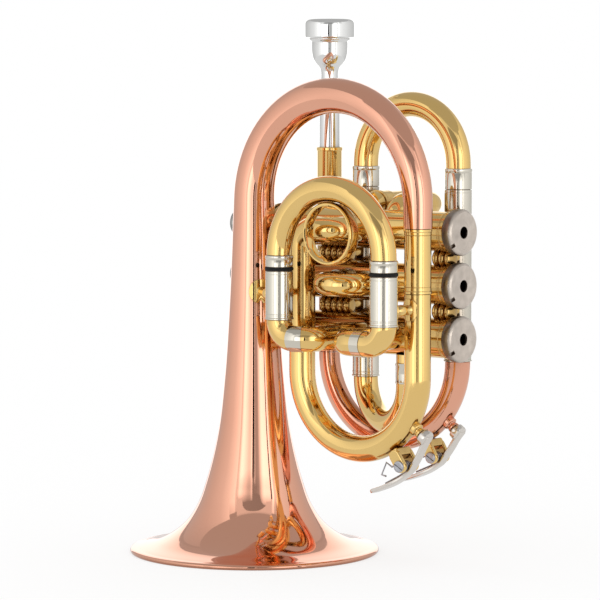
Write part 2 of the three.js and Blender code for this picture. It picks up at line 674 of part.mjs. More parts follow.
const ringCentre = thirdCrown - crookRadius - seatGap - ringRadius;
const ringPlace = at((thirdNearLeg + thirdFarLeg) / 2, thirdPlane - ringWidth / 2, ringCentre);
place('third_slide_ring', 'gold', sleeve(ringRadius, ringRadius - ringWall, ringPlace, alongY, ringWidth,
  mouthpieceSides));

// Second valve slide: a short bow straight out towards the bell's side
const secondLegs = [secondNearPort, secondNearPort + secondSpan];
const second = (x, y) => at(x, y, valveHeights[1]);
const secondSlideRadius = secondRadius + slideWall;
const secondBore = secondSlideRadius - slideWall;
const acrossBack = at(0, -1, 0);
secondLegs.forEach((x, i) => place(`second_tube_${i + 1}`, 'nickel', carved(
  sleeve(secondSlideRadius, secondBore, at(x, casingFace + overrun, valveHeights[1]), acrossBack,
    casingFace + overrun - secondMouth, tubeSides), casingTool(valveHeights[1]))));
const secondLeg = secondBore - slidePlay;
place('second_slide_bow', 'gold', joined(
  pipe(route([
    second(secondLegs[0], secondMouth - seatGap), second(secondLegs[0], secondCrown),
    second(secondLegs[1], secondCrown), second(secondLegs[1], secondMouth - seatGap),
  ], [secondSpan / 2 - weld, secondSpan / 2 - weld]), steady(secondRadius), tubeWall),
  ...secondLegs.map((x) => sleeve(
    secondLeg, secondLeg - legWall, second(x, secondMouth - tubeWall - seatGap),
    alongY, casingFace - secondMouth, tubeSides)),
));

// First valve slide: up out of the first valve and straight out between the tuning tubes
const firstLegs = [firstNearPort, firstNearPort + firstSpan];
const firstHeight = valveTop + firstRise;
const firstStart = valvePlane + casingRadius + seatGap;
const firstKnee = 7;
firstLegs.forEach((x, i) => place(`first_tube_${i + 1}`, 'gold', carved(joined(
  pipe(route([
    at(x, firstStart - firstKnee + seatGap, valveTop), at(x, firstStart - firstKnee + seatGap, firstHeight),
    at(x, firstStart + overrun, firstHeight),
  ], [firstKnee]), steady(slideRadius - seatGap), slideWall),
  sleeve(slideRadius, slideRadius - slideWall, at(x, firstStart + seatGap, firstHeight), alongY,
    firstMouth - firstStart - seatGap, tubeSides)), casingTool(valveTop))));
place('first_slide_bow', 'gold', joined(
  pipe(route([
    at(firstLegs[0], firstMouth + seatGap, firstHeight), at(firstLegs[0], firstCrown, firstHeight),
    at(firstLegs[1], firstCrown, firstHeight), at(firstLegs[1], firstMouth + seatGap, firstHeight),
  ], [firstSpan / 2 - weld, firstSpan / 2 - weld]), steady(crookRadius), tubeWall),
  ...firstLegs.map((x) => sleeve(legRadius, legRadius - legWall,
    at(x, firstStart + overrun + seatGap, firstHeight), alongY, firstMouth - firstStart, tubeSides)),
));

// Braces: a flange on each tube and a turned post with a ball between them
const flangeRadius = 6.6;
const slideFlangeRadius = 5.2;
const flangeDepth = 1.4;
const postRadius = 1.7;
const ballRadius = 3;
function brace(from, to, fromRadius, toRadius, flange) {
  const axis = to.clone().sub(from).normalize();
  const start = fromRadius + seatGap;
  const end = from.distanceTo(to) - toRadius - seatGap;
  const middle = (start + end) / 2;
  const cup = flangeDepth * 2;
  return turned([
    [0, start - cup], [flange, start - cup], [flange, start], [postRadius * 1.6, start + flangeDepth],
    [postRadius, start + 2 * flangeDepth], [postRadius, middle - ballRadius],
    [ballRadius, middle - ballRadius / 2], [ballRadius, middle + ballRadius / 2],
    [postRadius, middle + ballRadius], [postRadius, end - 2 * flangeDepth],
    [postRadius * 1.6, end - flangeDepth], [flange, end], [flange, end + cup], [0, end + cup],
  ], from, axis, tubeSides);
}
const upright = (radius, x, y, low, high) =>
  rod(radius + seatGap, at(x, y, low), alongZ, high - low, tubeSides);
const bellBraceHeight = 139.5;
const slideBraceHeight = 134.3;
// The bell's outside radius at a height, and the bell as a tool with the seating gap round it
const bellSkin = [[bellEdge, 2 * rimBead], ...flareOutside, [bellStemRadius, bellHeight]];
function bellRadiusAt(height) {
  const above = Math.max(1, bellSkin.findIndex(([, h], i) => h >= height || i === bellSkin.length - 1));
  const [[lowRadius, low], [highRadius, high]] = [bellSkin[above - 1], bellSkin[above]];
  return lowRadius + ((highRadius - lowRadius) * (height - low)) / (high - low);
}
const bellTool = turned([
  [0, 2 * rimBead], ...bellSkin.map(([r, h]) => [r + seatGap, h]), [0, bellHeight],
], at(0, 0, 0), alongZ, bellSides);
const bellHere = bellRadiusAt(bellBraceHeight);
const bellBrace = carved(
  brace(at(0, 0, bellBraceHeight), at(tailNearLeg, 0, bellBraceHeight), bellHere, tailRadius,
    flangeRadius),
  bellTool,
  upright(tailRadius, tailNearLeg, 0,
    bellBraceHeight - 2 * flangeRadius, bellBraceHeight + 2 * flangeRadius),
);
const slideBrace = carved(
  brace(third(thirdFarLeg, slideBraceHeight), at(bellReach, 0, slideBraceHeight), slideRadius, tailRadius,
    slideFlangeRadius),
  upright(slideRadius, thirdFarLeg, thirdPlane, slideBraceHeight - 2 * flangeRadius,
    slideBraceHeight + 2 * flangeRadius),
  upright(tailRadius, bellReach, 0,
    slideBraceHeight - 2 * flangeRadius, slideBraceHeight + 2 * flangeRadius),
);
place('bell_brace', 'gold', bellBrace);
place('slide_brace', 'gold', slideBrace);

// Water keys: a sprung lever on a two-eared saddle holds a cork over each nipple
const corkRadius = 3.3;
const cupRadius = 4.3;
const cupWall = 0.9;
const cupDepth = 3.4;
const keySpan = 16.2;             // nipple to hinge, along the bow's skin
const hingeRise = 9.4;            // hinge above the bow's skin
const footDepth = 4.5;
const earRadius = 3.4;
const earThickness = 2.6;
const earSpread = 3.6;            // middle of the saddle to the inside of an ear
const hingeRadius = 0.9;
const barrelRadius = 1.5;
const screwHead = 3;
const screwDepth = 1.2;
const leverThickness = 1.5;
const leverWidth = 5.2;
const paddleWidth = 7.8;
const leverSteps = 14;
// The lever's run: shares of the way from the nipple to the hinge, and shares of the hinge's rise
const leverShares = [
  [-0.12, 0.98], [0.19, 0.98], [0.46, 1.1], [0.81, 1.28], [1, 1.4], [1.18, 1.43], [1.65, 1.48],
  [2.3, 1.62],
];
const paddleStartShare = 0.72;
const paddleFullShare = 0.86;
const coilRadius = 2.3;
const coilWire = 0.35;
const coilTurns = 2.5;
const coilPitch = 1.3;
const coilSteps = 8;
const coilSides = 5;
// The spring's two free ends, as shares of the hinge's rise along and out from the hinge
const hookShares = [[1.35, -0.16], [1.57, -0.38], [0.9, -0.75], [0.7, -0.36]];
const tongueShares = [[0.8, 0.19], [1.86, 0.03]];

// A flat bar along a curve in an upright plane, with its half width given at each station
function bar(curve, halfWidthAt, thickness) {
  const points = [];
  const faces = [];
  for (let i = 0; i <= leverSteps; i += 1) {
    const share = i / leverSteps;
    const point = curve.getPoint(share);
    const lift = new THREE.Vector3().crossVectors(alongY, curve.getTangent(share)).normalize();
    for (const [wide, thick] of [[-1, -1], [1, -1], [1, 1], [-1, 1]]) {
      const corner = point.clone()
        .addScaledVector(alongY, wide * halfWidthAt(share))
        .addScaledVector(lift, (thick * thickness) / 2);
      points.push(corner.x, corner.y, corner.z);
    }
    if (i === 0) continue;
    const [low, high] = [4 * (i - 1), 4 * i];
    for (let k = 0; k < 4; k += 1) {
      const next = (k + 1) % 4;
      faces.push(low + k, low + next, high + next, low + k, high + next, high + k);
    }
  }
  const last = 4 * leverSteps;
  faces.push(0, 2, 1, 0, 3, 2, last, last + 1, last + 2, last, last + 2, last + 3);
  const geometry = new THREE.BufferGeometry();
  geometry.setAttribute('position', new THREE.Float32BufferAttribute(points, 3));
  geometry.setIndex(faces);
  return geometry;
}

function waterKey(side, centre, bend, skin, nippleAngle, bowTool) {
  const surface = bend + skin;
  const hingeAngle = nippleAngle - keySpan / surface;
  const outward = (angle) => at(Math.cos(angle), 0, Math.sin(angle));
  const spot = (angle, rise) => centre.clone().addScaledVector(outward(angle), surface + rise);
  const hinge = spot(hingeAngle, hingeRise);
  const out = outward(hingeAngle);
  const away = at(Math.sin(hingeAngle), 0, -Math.cos(hingeAngle));
  const fromHinge = (run, rise, y) => hinge.clone()
    .addScaledVector(away, run)
    .addScaledVector(out, rise)
    .addScaledVector(alongY, y);
  const across = (radius, y, length) => rod(radius, fromHinge(0, 0, y), alongY, length, tubeSides);
  function block(low, high, width, from, to) {
    const turn = new THREE.Matrix4().makeBasis(out, alongY, away.clone().negate());
    const middle = fromHinge(0, (low + high) / 2 - hingeRise, (from + to) / 2);
    const shape = new THREE.BoxGeometry(high - low, to - from, width);
    return shape.applyMatrix4(turn).translate(middle.x, middle.y, middle.z);
  }

  // Saddle: a foot soldered on the bow, two ears, and the hinge screw through them
  const earEnd = earSpread + earThickness;
  const ears = [-earEnd, earSpread].flatMap((from) => [
    block(0, hingeRise, 2 * earRadius, from, from + earThickness), across(earRadius, from, earThickness),
  ]);
  place(`water_key_saddle_${side}`, 'gold', carved(joined(
    block(-skin / 2, footDepth, 2 * earRadius, -earEnd, earEnd), ...ears,
    across(hingeRadius, -earEnd, 2 * earEnd),
    across(screwHead, -earEnd - screwDepth, screwDepth + earThickness / 2),
  ), bowTool));

  // Lever: barrel on the screw, bar from the cork cup between the ears to the thumb paddle
  const run = new THREE.CatmullRomCurve3(leverShares.map(([share, rise]) =>
    spot(nippleAngle + (hingeAngle - nippleAngle) * share, hingeRise * rise)));
  const halfWidthAt = (share) => {
    const swell = (share - paddleStartShare) / (paddleFullShare - paddleStartShare);
    return (leverWidth + (paddleWidth - leverWidth) * THREE.MathUtils.clamp(swell, 0, 1)) / 2;
  };
  const cupBack = hingeRise * leverShares[1][1];
  const cupFloor = cupBack - cupWall;
  const pad = corkRadius + seatGap;
  const cup = turned([
    [0, cupFloor], [pad, cupFloor], [pad, cupBack - cupDepth], [cupRadius, cupBack - cupDepth],
    [cupRadius, cupBack], [0, cupBack],
  ], spot(nippleAngle, 0), outward(nippleAngle), tubeSides);
  const barrelEnd = earSpread - seatGap;
  place(`water_key_lever_${side}`, 'nickel', carved(joined(
    bar(run, halfWidthAt, leverThickness), cup, across(barrelRadius, -barrelEnd, 2 * barrelEnd),
    block(hingeRise, hingeRise * leverShares[4][1], 2 * barrelRadius, leverWidth / 4, barrelEnd - seatGap),
  ), across(hingeRadius + seatGap, -earEnd, 2 * earEnd)));
  const corkFoot = nippleRise + seatGap;
  place(`water_key_cork_${side}`, 'cork', rod(corkRadius, spot(nippleAngle, corkFoot), outward(nippleAngle),
    cupFloor - seatGap - corkFoot, tubeSides));

  // Spring: a coil on the barrel, one end hooked under the bow and the other under the lever
  const coilStart = coilWire + seatGap - earSpread;
  const free = ([along, rise], y) => fromHinge(hingeRise * along, hingeRise * rise, y);
  const coil = [];
  for (let i = 0; i <= coilTurns * coilSteps; i += 1) {
    const turn = -Math.PI / 2 - (2 * Math.PI * i) / coilSteps;
    coil.push(fromHinge(coilRadius * Math.cos(turn), coilRadius * Math.sin(turn),
      coilStart + (coilPitch * i) / coilSteps));
  }
  const coilEnd = coilStart + coilPitch * coilTurns;
  place(`water_key_spring_${side}`, 'steel', wire([
    ...hookShares.map((share) => free(share, coilStart)), ...coil,
    ...tongueShares.map((share) => free(share, coilEnd)),
  ], coilWire, coilSides));
  let least = Infinity;
  for (let i = 0; i < coil.length; i += 1) {
    for (let j = i + coilSteps / 2; j < coil.length; j += 1) {
      least = Math.min(least, coil[i].distanceTo(coil[j]));
    }
  }
  console.log(`water_key_spring_${side}: least gap to itself ${(least - 2 * coilWire).toFixed(2)} mm`);
}

const grown = (radiusAt) => (share) => radiusAt(share) + seatGap;
const tailTool = pipe(tailRoute, grown(steady(tailRadius)), tailRadius + seatGap);
waterKey('front', tailCentre, tailBend, tailRadius, tailNippleAngle, tailTool);
const rearTool = pipe(rearRoute, grown(rearRadiusAt), rearEndRadius + seatGap);
waterKey('rear', rearCentre, rearBend, rearSkin, rearNippleAngle, rearTool);

// Sets the horn over the middle of its own box, standing on the bell
const box = new THREE.Box3().setFromObject(horn);
const middle = box.getCenter(new THREE.Vector3());
horn.position.set(-middle.x, -middle.y, -box.min.z);

export default horn;
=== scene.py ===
import math

import bpy
from mathutils import Matrix, Vector


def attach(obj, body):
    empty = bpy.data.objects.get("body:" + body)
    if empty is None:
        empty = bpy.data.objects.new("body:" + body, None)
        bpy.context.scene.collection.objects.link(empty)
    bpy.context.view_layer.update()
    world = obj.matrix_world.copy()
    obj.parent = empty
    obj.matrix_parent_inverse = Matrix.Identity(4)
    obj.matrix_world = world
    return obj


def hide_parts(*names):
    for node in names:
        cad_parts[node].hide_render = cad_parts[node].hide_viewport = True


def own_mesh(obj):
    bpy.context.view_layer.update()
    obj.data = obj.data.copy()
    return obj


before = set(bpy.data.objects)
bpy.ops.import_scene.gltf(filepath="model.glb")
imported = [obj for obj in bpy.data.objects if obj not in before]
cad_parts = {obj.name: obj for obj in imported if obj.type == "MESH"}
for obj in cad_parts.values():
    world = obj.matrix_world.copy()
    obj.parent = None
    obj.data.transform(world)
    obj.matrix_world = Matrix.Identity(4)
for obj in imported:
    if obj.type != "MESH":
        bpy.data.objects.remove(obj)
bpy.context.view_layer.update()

# ---- Bell ----
# The bell is spun from rose brass sheet over a steel former and its edge is rolled round a wire.
# It stands on that edge. A clear lacquer is baked on after polishing, as on all the brass.
mm = 0.001
right, back, up = Vector((1, 0, 0)), Vector((0, 1, 0)), Vector((0, 0, 1))
bell_x, bell_y = -26.85, -1.9
bell_wall = 0.9
rolled_edge = [(63.9, 0.0), (65.1, 0.0), (65.6, 0.35), (65.88, 1.0), (65.8, 1.7), (65.35, 2.35), (64.6, 2.7)]
flare_line = [(62.7, 2.75), (50.93, 5.79), (35.8, 16.5), (29.15, 27.2), (25.43, 37.9), (19.05, 64.5),
              (15.86, 91.1), (12.98, 133.5), (11.37, 170.5), (10.8, 186.2)]
edge_return = [(63.0, 0.7), (63.9, 0.0)]
rose_bright, rose_deep = (0.94, 0.50, 0.345, 1), (0.90, 0.435, 0.295, 1)
# Painted shade: polished metal is darkened toward this brown in its recesses, within this reach.
recess_shade_brown, recess_shade_reach = (0.40, 0.33, 0.28, 1), 0.022
lacquer_rough = 0.04


def spot(x, y, z):
    """A place in the horn, from millimetres."""
    return Vector((x, y, z)) * mm


def line_of(places):
    """Draws a line of vertices through places and stays in edit mode with all of it selected."""
    bpy.ops.mesh.primitive_circle_add(vertices=3, radius=mm, location=places[0])
    bpy.ops.object.mode_set(mode="EDIT")
    bpy.ops.mesh.merge(type="CENTER")
    for before, after in zip(places, places[1:]):
        bpy.ops.mesh.extrude_vertices_move(TRANSFORM_OT_translate={"value": after - before})
    bpy.ops.mesh.select_all(action="SELECT")


def disc_at(place, way, radius, sides, roll="Y", fill="NGON"):
    """Adds a flat round face, or a bare ring, that looks along a way, and starts to edit it."""
    bpy.ops.mesh.primitive_circle_add(vertices=sides, radius=radius * mm, fill_type=fill, location=place,
                                      rotation=Vector(way).to_track_quat("Z", roll).to_euler())
    bpy.ops.object.mode_set(mode="EDIT")
    bpy.ops.mesh.select_all(action="SELECT")


def set_down(angle=35):
    """Leaves edit mode with the mesh shaded smooth and the object at the origin."""
    bpy.ops.object.mode_set(mode="OBJECT")
    bpy.ops.object.transform_apply()
    bpy.ops.object.shade_smooth_by_angle(angle=math.radians(angle))
    return bpy.context.object


def closed_up(angle=35):
    """Turns the faces of the edited mesh outward and sets it down."""
    bpy.ops.mesh.select_all(action="SELECT")
    bpy.ops.mesh.normals_make_consistent(inside=False)
    return set_down(angle)


def worked(piece, kind, **settings):
    """Gives a piece a modifier with its settings, and applies it."""
    bpy.context.view_layer.objects.active = piece
    bpy.ops.object.modifier_add(type=kind)
    modifier = piece.modifiers[-1]
    for setting, value in settings.items():
        setattr(modifier, setting, value)
    bpy.ops.object.modifier_apply(modifier=modifier.name)
    return piece


def broken_edges(piece, width, segments=2, angle=40):
    """Takes the sharpness off a piece's edges, as the polishing wheel does."""
    return worked(piece, "BEVEL", width=width * mm, segments=segments, limit_method="ANGLE",
                  angle_limit=math.radians(angle), harden_normals=True)


def turned(outline, foot, way, sides=64, edge=0.15):
    """A piece turned on the lathe, or spun: its outline is pairs of radius and height from its foot."""
    way = Vector(way).normalized()
    out = way.orthogonal().normalized()
    line_of([foot + out * r * mm + way * h * mm for r, h in outline])
    bpy.ops.mesh.spin(steps=sides, angle=2 * math.pi, center=foot, axis=way)
    bpy.ops.mesh.select_all(action="SELECT")
    bpy.ops.mesh.remove_doubles(threshold=0.002 * mm)
    piece = closed_up()
    return broken_edges(piece, edge) if edge else piece


def eased(knots, cuts=6):
    """One smooth line through the knots of an outline."""
    knots = [Vector(k) for k in knots]
    steps = [(b - a).length for a, b in zip(knots, knots[1:])]
    slopes = [(b - a) / s for a, b, s in zip(knots, knots[1:], steps)]
    leans = [slopes[0]]
    for (a, b), (s, t) in zip(zip(slopes, slopes[1:]), zip(steps, steps[1:])):
        leans.append((a * t + b * s) / (s + t))
    leans.append(slopes[-1])
    line = []
    for i, s in enumerate(steps):
        for k in range(cuts):
            u = k / cuts
            near = knots[i] * (2 * u ** 3 - 3 * u ** 2 + 1) + leans[i] * s * (u ** 3 - 2 * u ** 2 + u)
            far = knots[i + 1] * (3 * u ** 2 - 2 * u ** 3) + leans[i + 1] * s * (u ** 3 - u ** 2)
            line.append(tuple(near + far))
    return line + [tuple(knots[-1])]


def sheet_inside(line, wall):
    """The inner face of sheet metal whose outer face follows the line, from its end back to its start."""
    inner = []
    for i, (r, h) in enumerate(line):
        ahead, behind = line[min(i + 1, len(line) - 1)], line[max(i - 1, 0)]
        lean = Vector((ahead[0] - behind[0], ahead[1] - behind[1])).normalized()
        inner.append((r - lean.y * wall, h + lean.x * wall))
    return inner[::-1]


def new_finish(name):
    """A material to start from, with its node tree and its shader."""
    finish = bpy.data.materials.new(name)
    finish.use_nodes = True
    return finish, finish.node_tree, finish.node_tree.nodes["Principled BSDF"]


def fed(tree, value, socket):
    """Links a node's output to a socket, or sets the socket to a plain value."""
    if isinstance(value, bpy.types.NodeSocket):
        tree.links.new(value, socket)
    else:
        socket.default_value = value


def mixed(tree, share, first, second, blend="MIX"):
    """Mixes two colours by a share."""
    mix = tree.nodes.new("ShaderNodeMix")
    mix.data_type, mix.blend_type = "RGBA", blend
    for socket, value in (("Factor", share), ("A", first), ("B", second)):
        fed(tree, value, mix.inputs[socket])
    return mix.outputs["Result"]


def ranged(tree, value, low, high, to_low=0, to_high=1):
    """Carries a value from one range over to another."""
    span = tree.nodes.new("ShaderNodeMapRange")
    for socket, given in (("Value", value), ("From Min", low), ("From Max", high), ("To Min", to_low),
                          ("To Max", to_high)):
        fed(tree, given, span.inputs[socket])
    return span.outputs["Result"]


def grain(tree, place, kind, scale, detail=None):
    """A pattern over the piece, of a kind of texture and a scale."""
    pattern = tree.nodes.new(kind)
    pattern.inputs["Scale"].default_value = scale
    if detail is not None:
        pattern.inputs["Detail"].default_value = detail
    tree.links.new(place.outputs["Object"], pattern.inputs["Vector"])
    return pattern.outputs[0]


def polished(name, bright, deep, rough, coat=0.2, buff=0.12, wave=0.06, drift=(26, 3)):
    """Buffed metal: painted shade, a brown darkening in its recesses, a slow drift of colour, a faint haze, and
    the buff's soft waves.
    """
    metal, tree, shader = new_finish(name)
    shader.inputs["Metallic"].default_value = 1
    shader.inputs["Coat Weight"].default_value = coat
    shader.inputs["Coat Roughness"].default_value = lacquer_rough
    place = tree.nodes.new("ShaderNodeTexCoord")
    # Ambient occlusion darkens the colour toward brown where parts crowd in: painted shade in the recesses.
    open_air = tree.nodes.new("ShaderNodeAmbientOcclusion")
    open_air.samples = 6
    open_air.inputs["Distance"].default_value = recess_shade_reach
    brown = mixed(tree, ranged(tree, open_air.outputs["AO"], 0.3, 0.85), recess_shade_brown, (1, 1, 1, 1))
    colour = mixed(tree, grain(tree, place, "ShaderNodeTexNoise", *drift), bright, deep)
    fed(tree, mixed(tree, 1, colour, brown, "MULTIPLY"), shader.inputs["Base Color"])
    haze = grain(tree, place, "ShaderNodeTexNoise", 90, 5)
    fed(tree, ranged(tree, haze, 0.35, 0.75, rough, rough * 2.2), shader.inputs["Roughness"])
    waves = tree.nodes.new("ShaderNodeBump")
    waves.inputs["Strength"].default_value = buff
    waves.inputs["Distance"].default_value = wave * mm
    fed(tree, grain(tree, place, "ShaderNodeTexNoise", 130, 2), waves.inputs["Height"])
    fed(tree, waves.outputs["Normal"], shader.inputs["Normal"])
    return metal


def fitted(piece, name, metal, body, *nodes):
    """Names a piece, gives it the finish of its metal, and fits it to the body that carries it."""
    finish, slot = metal
    piece.name = piece.data.name = name
    piece.data.materials.clear()
    piece.data.materials.append(finish)
    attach(piece, body)
    if nodes:
        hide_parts(*nodes)
    return piece


rose = polished("lacquered rose brass", rose_bright, rose_deep, 0.035), "rose_brass"
flare = eased(flare_line, 8)
bell = turned(rolled_edge + flare + sheet_inside(flare, bell_wall) + edge_return, spot(bell_x, bell_y, 0), up,
              sides=144, edge=None)
fitted(bell, "bell", rose, "horn", "bell_flare")

# ---- Bell bow, ferrule and tail bow ----
# The stem of the bell is drawn over a mandrel, filled with pitch and bent over the top. A yellow brass
# ferrule is soldered over its end, and a tube of even bore goes on round the bottom and up to valve 1.
bow_foot, bow_bend, bow_end = 186.2, 55.1, 11.3
bow_radii = (10.8, 9.05, 7.5, 7.4)
tail_x, near_x, tail_radius, tail_bend = 83.35, 6.55, 6.8, 38.4
ferrule_foot, tail_start, tail_foot, tail_top, knee = 142.3, 142, 98.8, 172.3, 9
tube_wall = 0.7
bend_step = 4
front_drain = -0.594
gold_bright, gold_deep = (0.96, 0.68, 0.27, 1), (0.91, 0.60, 0.20, 1)


def drawn(start, way, radius, runs, wall=tube_wall, sides=48):
    """A drawn tube. A run is a straight length, or a bend's degrees, side and radius, then any new bore."""
    here, way = Vector(start), Vector(way).normalized()
    disc_at(here, way, radius, sides, fill="NOTHING")
    for run in runs:
        run = run if isinstance(run, tuple) else (run,)
        length, toward, bend, end = (*run, *(None, None, radius)[len(run) - 1:])
        if toward:
            steps = max(1, round(length / bend_step))
            side = Vector(toward).normalized()
            side = (side - way * side.dot(way)).normalized()
        else:
            steps = 8 if end != radius else 1
        for step in range(steps):
            if toward:
                centre, turn = here + side * bend * mm, math.radians(length / steps)
                bpy.ops.mesh.spin(steps=1, angle=turn, center=centre, axis=side.cross(way))
                swing = Matrix.Rotation(turn, 3, way.cross(side))
                here, way, side = centre + swing @ (here - centre), swing @ way, swing @ side
            else:
                ahead = way * length * mm / steps
                bpy.ops.mesh.extrude_region_move(TRANSFORM_OT_translate={"value": ahead})
                here = here + ahead
            if end != radius:
                was, grown = (radius + (end - radius) * (step + k) / steps for k in (0, 1))
                bpy.ops.transform.resize(value=(grown / was,) * 3, center_override=here)
        radius = end
    worked(closed_up(), "SOLIDIFY", thickness=wall * mm, offset=-1, use_even_offset=True)
    return set_down()


def together(piece, *others):
    """Solders pieces into one."""
    bpy.ops.object.select_all(action="DESELECT")
    for each in (piece, *others):
        each.select_set(True)
    bpy.context.view_layer.objects.active = piece
    bpy.ops.object.join()
    return piece


def outward(angle):
    """The way out from the middle of a bow, at an angle from straight right."""
    return Vector((math.cos(angle), 0, math.sin(angle)))


def drain_tower(middle, reach, angle):
    """The turned tower of a drain, on the outside of a bow."""
    out = outward(angle)
    return turned([(1.5, 0), (3.6, 0), (3.6, 1.9), (3.3, 2.3), (2.6, 2.7), (2.45, 3.2), (2.9, 3.8), (3.0, 4.4),
                   (3.0, 5.0), (2.7, 5.3), (1.5, 5.3), (1.5, 0)], middle + out * (reach - tube_wall) * mm, out,
                  sides=48, edge=0.1)


gold = polished("lacquered yellow brass", gold_bright, gold_deep, 0.05), "yellow_brass"
bell_bow = drawn(spot(bell_x, bell_y, bow_foot), up, bow_radii[0],
                 [0.3, (90, right, bow_bend, bow_radii[1]), (90, -up, bow_bend, bow_radii[2]),
                  (bow_end, None, 0, bow_radii[3])], bell_wall, sides=64)
fitted(bell_bow, "bell_bow_tube", rose, "horn", "bell_bow")

ferrule = turned([(6.1, 0), (7.25, 0), (7.25, 1.2), (6.95, 1.5), (6.9, 3.2), (6.75, 3.35), (6.9, 3.5),
                  (6.9, 29.4), (6.75, 29.55), (6.9, 29.7), (6.95, 31.1), (7.25, 31.4), (7.25, 32.6),
                  (6.1, 32.6), (6.1, 0)], spot(tail_x, bell_y, ferrule_foot), up)
fitted(ferrule, "bell_tail_ferrule", gold, "horn", "bell_ferrule")

tail_middle = spot((tail_x + near_x) / 2, bell_y, tail_foot)
tail_bow = drawn(spot(tail_x, bell_y, tail_start), -up, tail_radius,
                 [tail_start - tail_foot, (180, -right, tail_bend), tail_top - knee - tail_foot,
                  (90, right, knee), 2.2])
tail_bow = together(tail_bow, drain_tower(tail_middle, tail_bend + tail_radius, front_drain))
fitted(tail_bow, "tail_bow_tube", gold, "horn", "tail_bow")

# ---- Valve casings ----
# Three seamless brass casings lie side by side. Turned bead rows and stays are soldered to them, and so are
# the knuckles that lead the tubes in. Then each bore is reamed, which cuts the knuckles' ends flush.
valve_y = 24.1
valve_heights = top_valve, middle_valve, low_valve = 172.3, 145.0, 117.7
between_valves = (158.65, 131.35)
casing_start, casing_length, casing_bore = -35.85, 126.5, 8.9
bead_rows = ((-1.45, 20.0), (74.15, 12.0))
bead_pitch = 4.0
knuckle_x, knuckle_run, knuckle_end = 18.05, 1.9, 8.6
bead_line = ((0.0, 2.9), (0.12, 3.6), (0.28, 4.35), (0.5, 4.6), (0.72, 4.35), (0.88, 3.6))
stay_places = (10.75, 76.55)


def copied(piece, shift):
    """A copy of a finished piece with its own mesh, moved by a shift."""
    bpy.ops.object.select_all(action="DESELECT")
    piece.select_set(True)
    bpy.context.view_layer.objects.active = piece
    bpy.ops.object.duplicate()
    bpy.ops.transform.translate(value=shift)
    bpy.ops.object.transform_apply()
    return bpy.context.object


def cut(piece, tool):
    """Cuts a tool's shape out of a piece and puts the tool away."""
    worked(piece, "BOOLEAN", object=tool)
    bpy.data.objects.remove(tool)
    return piece


def reamed(tube, height):
    """Cuts the end of a soldered tube flush with the bore of the casing at a height."""
    bpy.ops.mesh.primitive_cylinder_add(vertices=72, radius=casing_bore * mm, depth=casing_length * mm,
                                        location=spot(casing_start + casing_length / 2, valve_y, height),
                                        rotation=(0, math.pi / 2, 0))
    return cut(tube, bpy.context.object)


def bead_row(foot, length):
    """A rod turned into a row of beads."""
    beads = round(length / bead_pitch)
    line = [(r, (bead + share) * length / beads) for bead in range(beads) for share, r in bead_line]
    return turned([(0, 0)] + line + [(2.9, length), (0, length)], foot, right, sides=40, edge=None)


casing_line = [(casing_bore, 0), (9.6, 0), (9.6, 5.8), (10.3, 5.8), (10.3, 7.6), (10.55, 7.8), (10.55, 8.9),
               (10.3, 9.1), (10.3, 118.6), (10.55, 118.8), (10.55, 119.6), (10.3, 119.8), (10.3, 120.9),
               (10.9, 120.9), (10.9, 122.5), (9.6, 122.5), (9.6, casing_length), (casing_bore, casing_length),
               (casing_bore, 0)]
stay_line = [(0, 0), (2.8, 0), (2.8, 4.6), (2.1, 5.4), (2.1, 10.6), (2.5, 11.2), (2.5, 14.2), (0, 14.2)]
casing = turned(casing_line, spot(casing_start, valve_y, middle_valve), right, sides=72)
upper = copied(casing, spot(0, 0, top_valve - middle_valve))
lower = copied(casing, spot(0, 0, low_valve - middle_valve))
knuckle = drawn(spot(knuckle_x, bell_y, tail_top), right, tail_radius,
                [knuckle_run, (90, back, knee), knuckle_end])
fitted(reamed(knuckle, top_valve), "bell_knuckle_tube", gold, "horn", "bell_knuckle")
beads = [bead_row(spot(start, valve_y, height), length)
         for start, length in bead_rows for height in between_valves]
stays = [turned(stay_line, spot(place, valve_y, height), back, sides=32)
         for place in stay_places for height in between_valves]
for number, tube in enumerate((upper, together(casing, *beads, *stays), lower), 1):
    fitted(tube, f"valve_casing_{number}", gold, "horn", f"casing_{number}")

# ---- Valve caps ----
# The caps are turned from nickel silver and screw on to both ends of each casing. The bottom ones have a
# vent in a matt brushed face, a bright bevel round it, and a small notch for a spanner.
top_cap_face, bottom_cap_face = -38.35, 92.75
notch_way, notch_reach, notch_sink, notch_sizes = Vector((0, -0.8, -0.6)), 11.2, 0.15, (3.0, 3.4, 2.2)
nickel_bright, nickel_deep = (0.80, 0.755, 0.655, 1), (0.72, 0.675, 0.575, 1)
satin_bright, satin_deep = (0.86, 0.76, 0.67, 1), (0.50, 0.44, 0.38, 1)
# Painted shade: the sides of the bottom caps are darkened to half, back to full colour near the face.
painted_side_shade, side_start, side_end = 0.5, bottom_cap_face - 1.6, bottom_cap_face - 0.5


def nickel_plate(name, bright, deep, rough, brushed, drift=(26, 3)):
    """Nickel silver without lacquer, brushed or bright, with faint darker handling marks and painted shade in
    its recesses.
    """
    return polished(name, bright, deep, rough, coat=0.0, buff=brushed, wave=0.02, drift=drift)


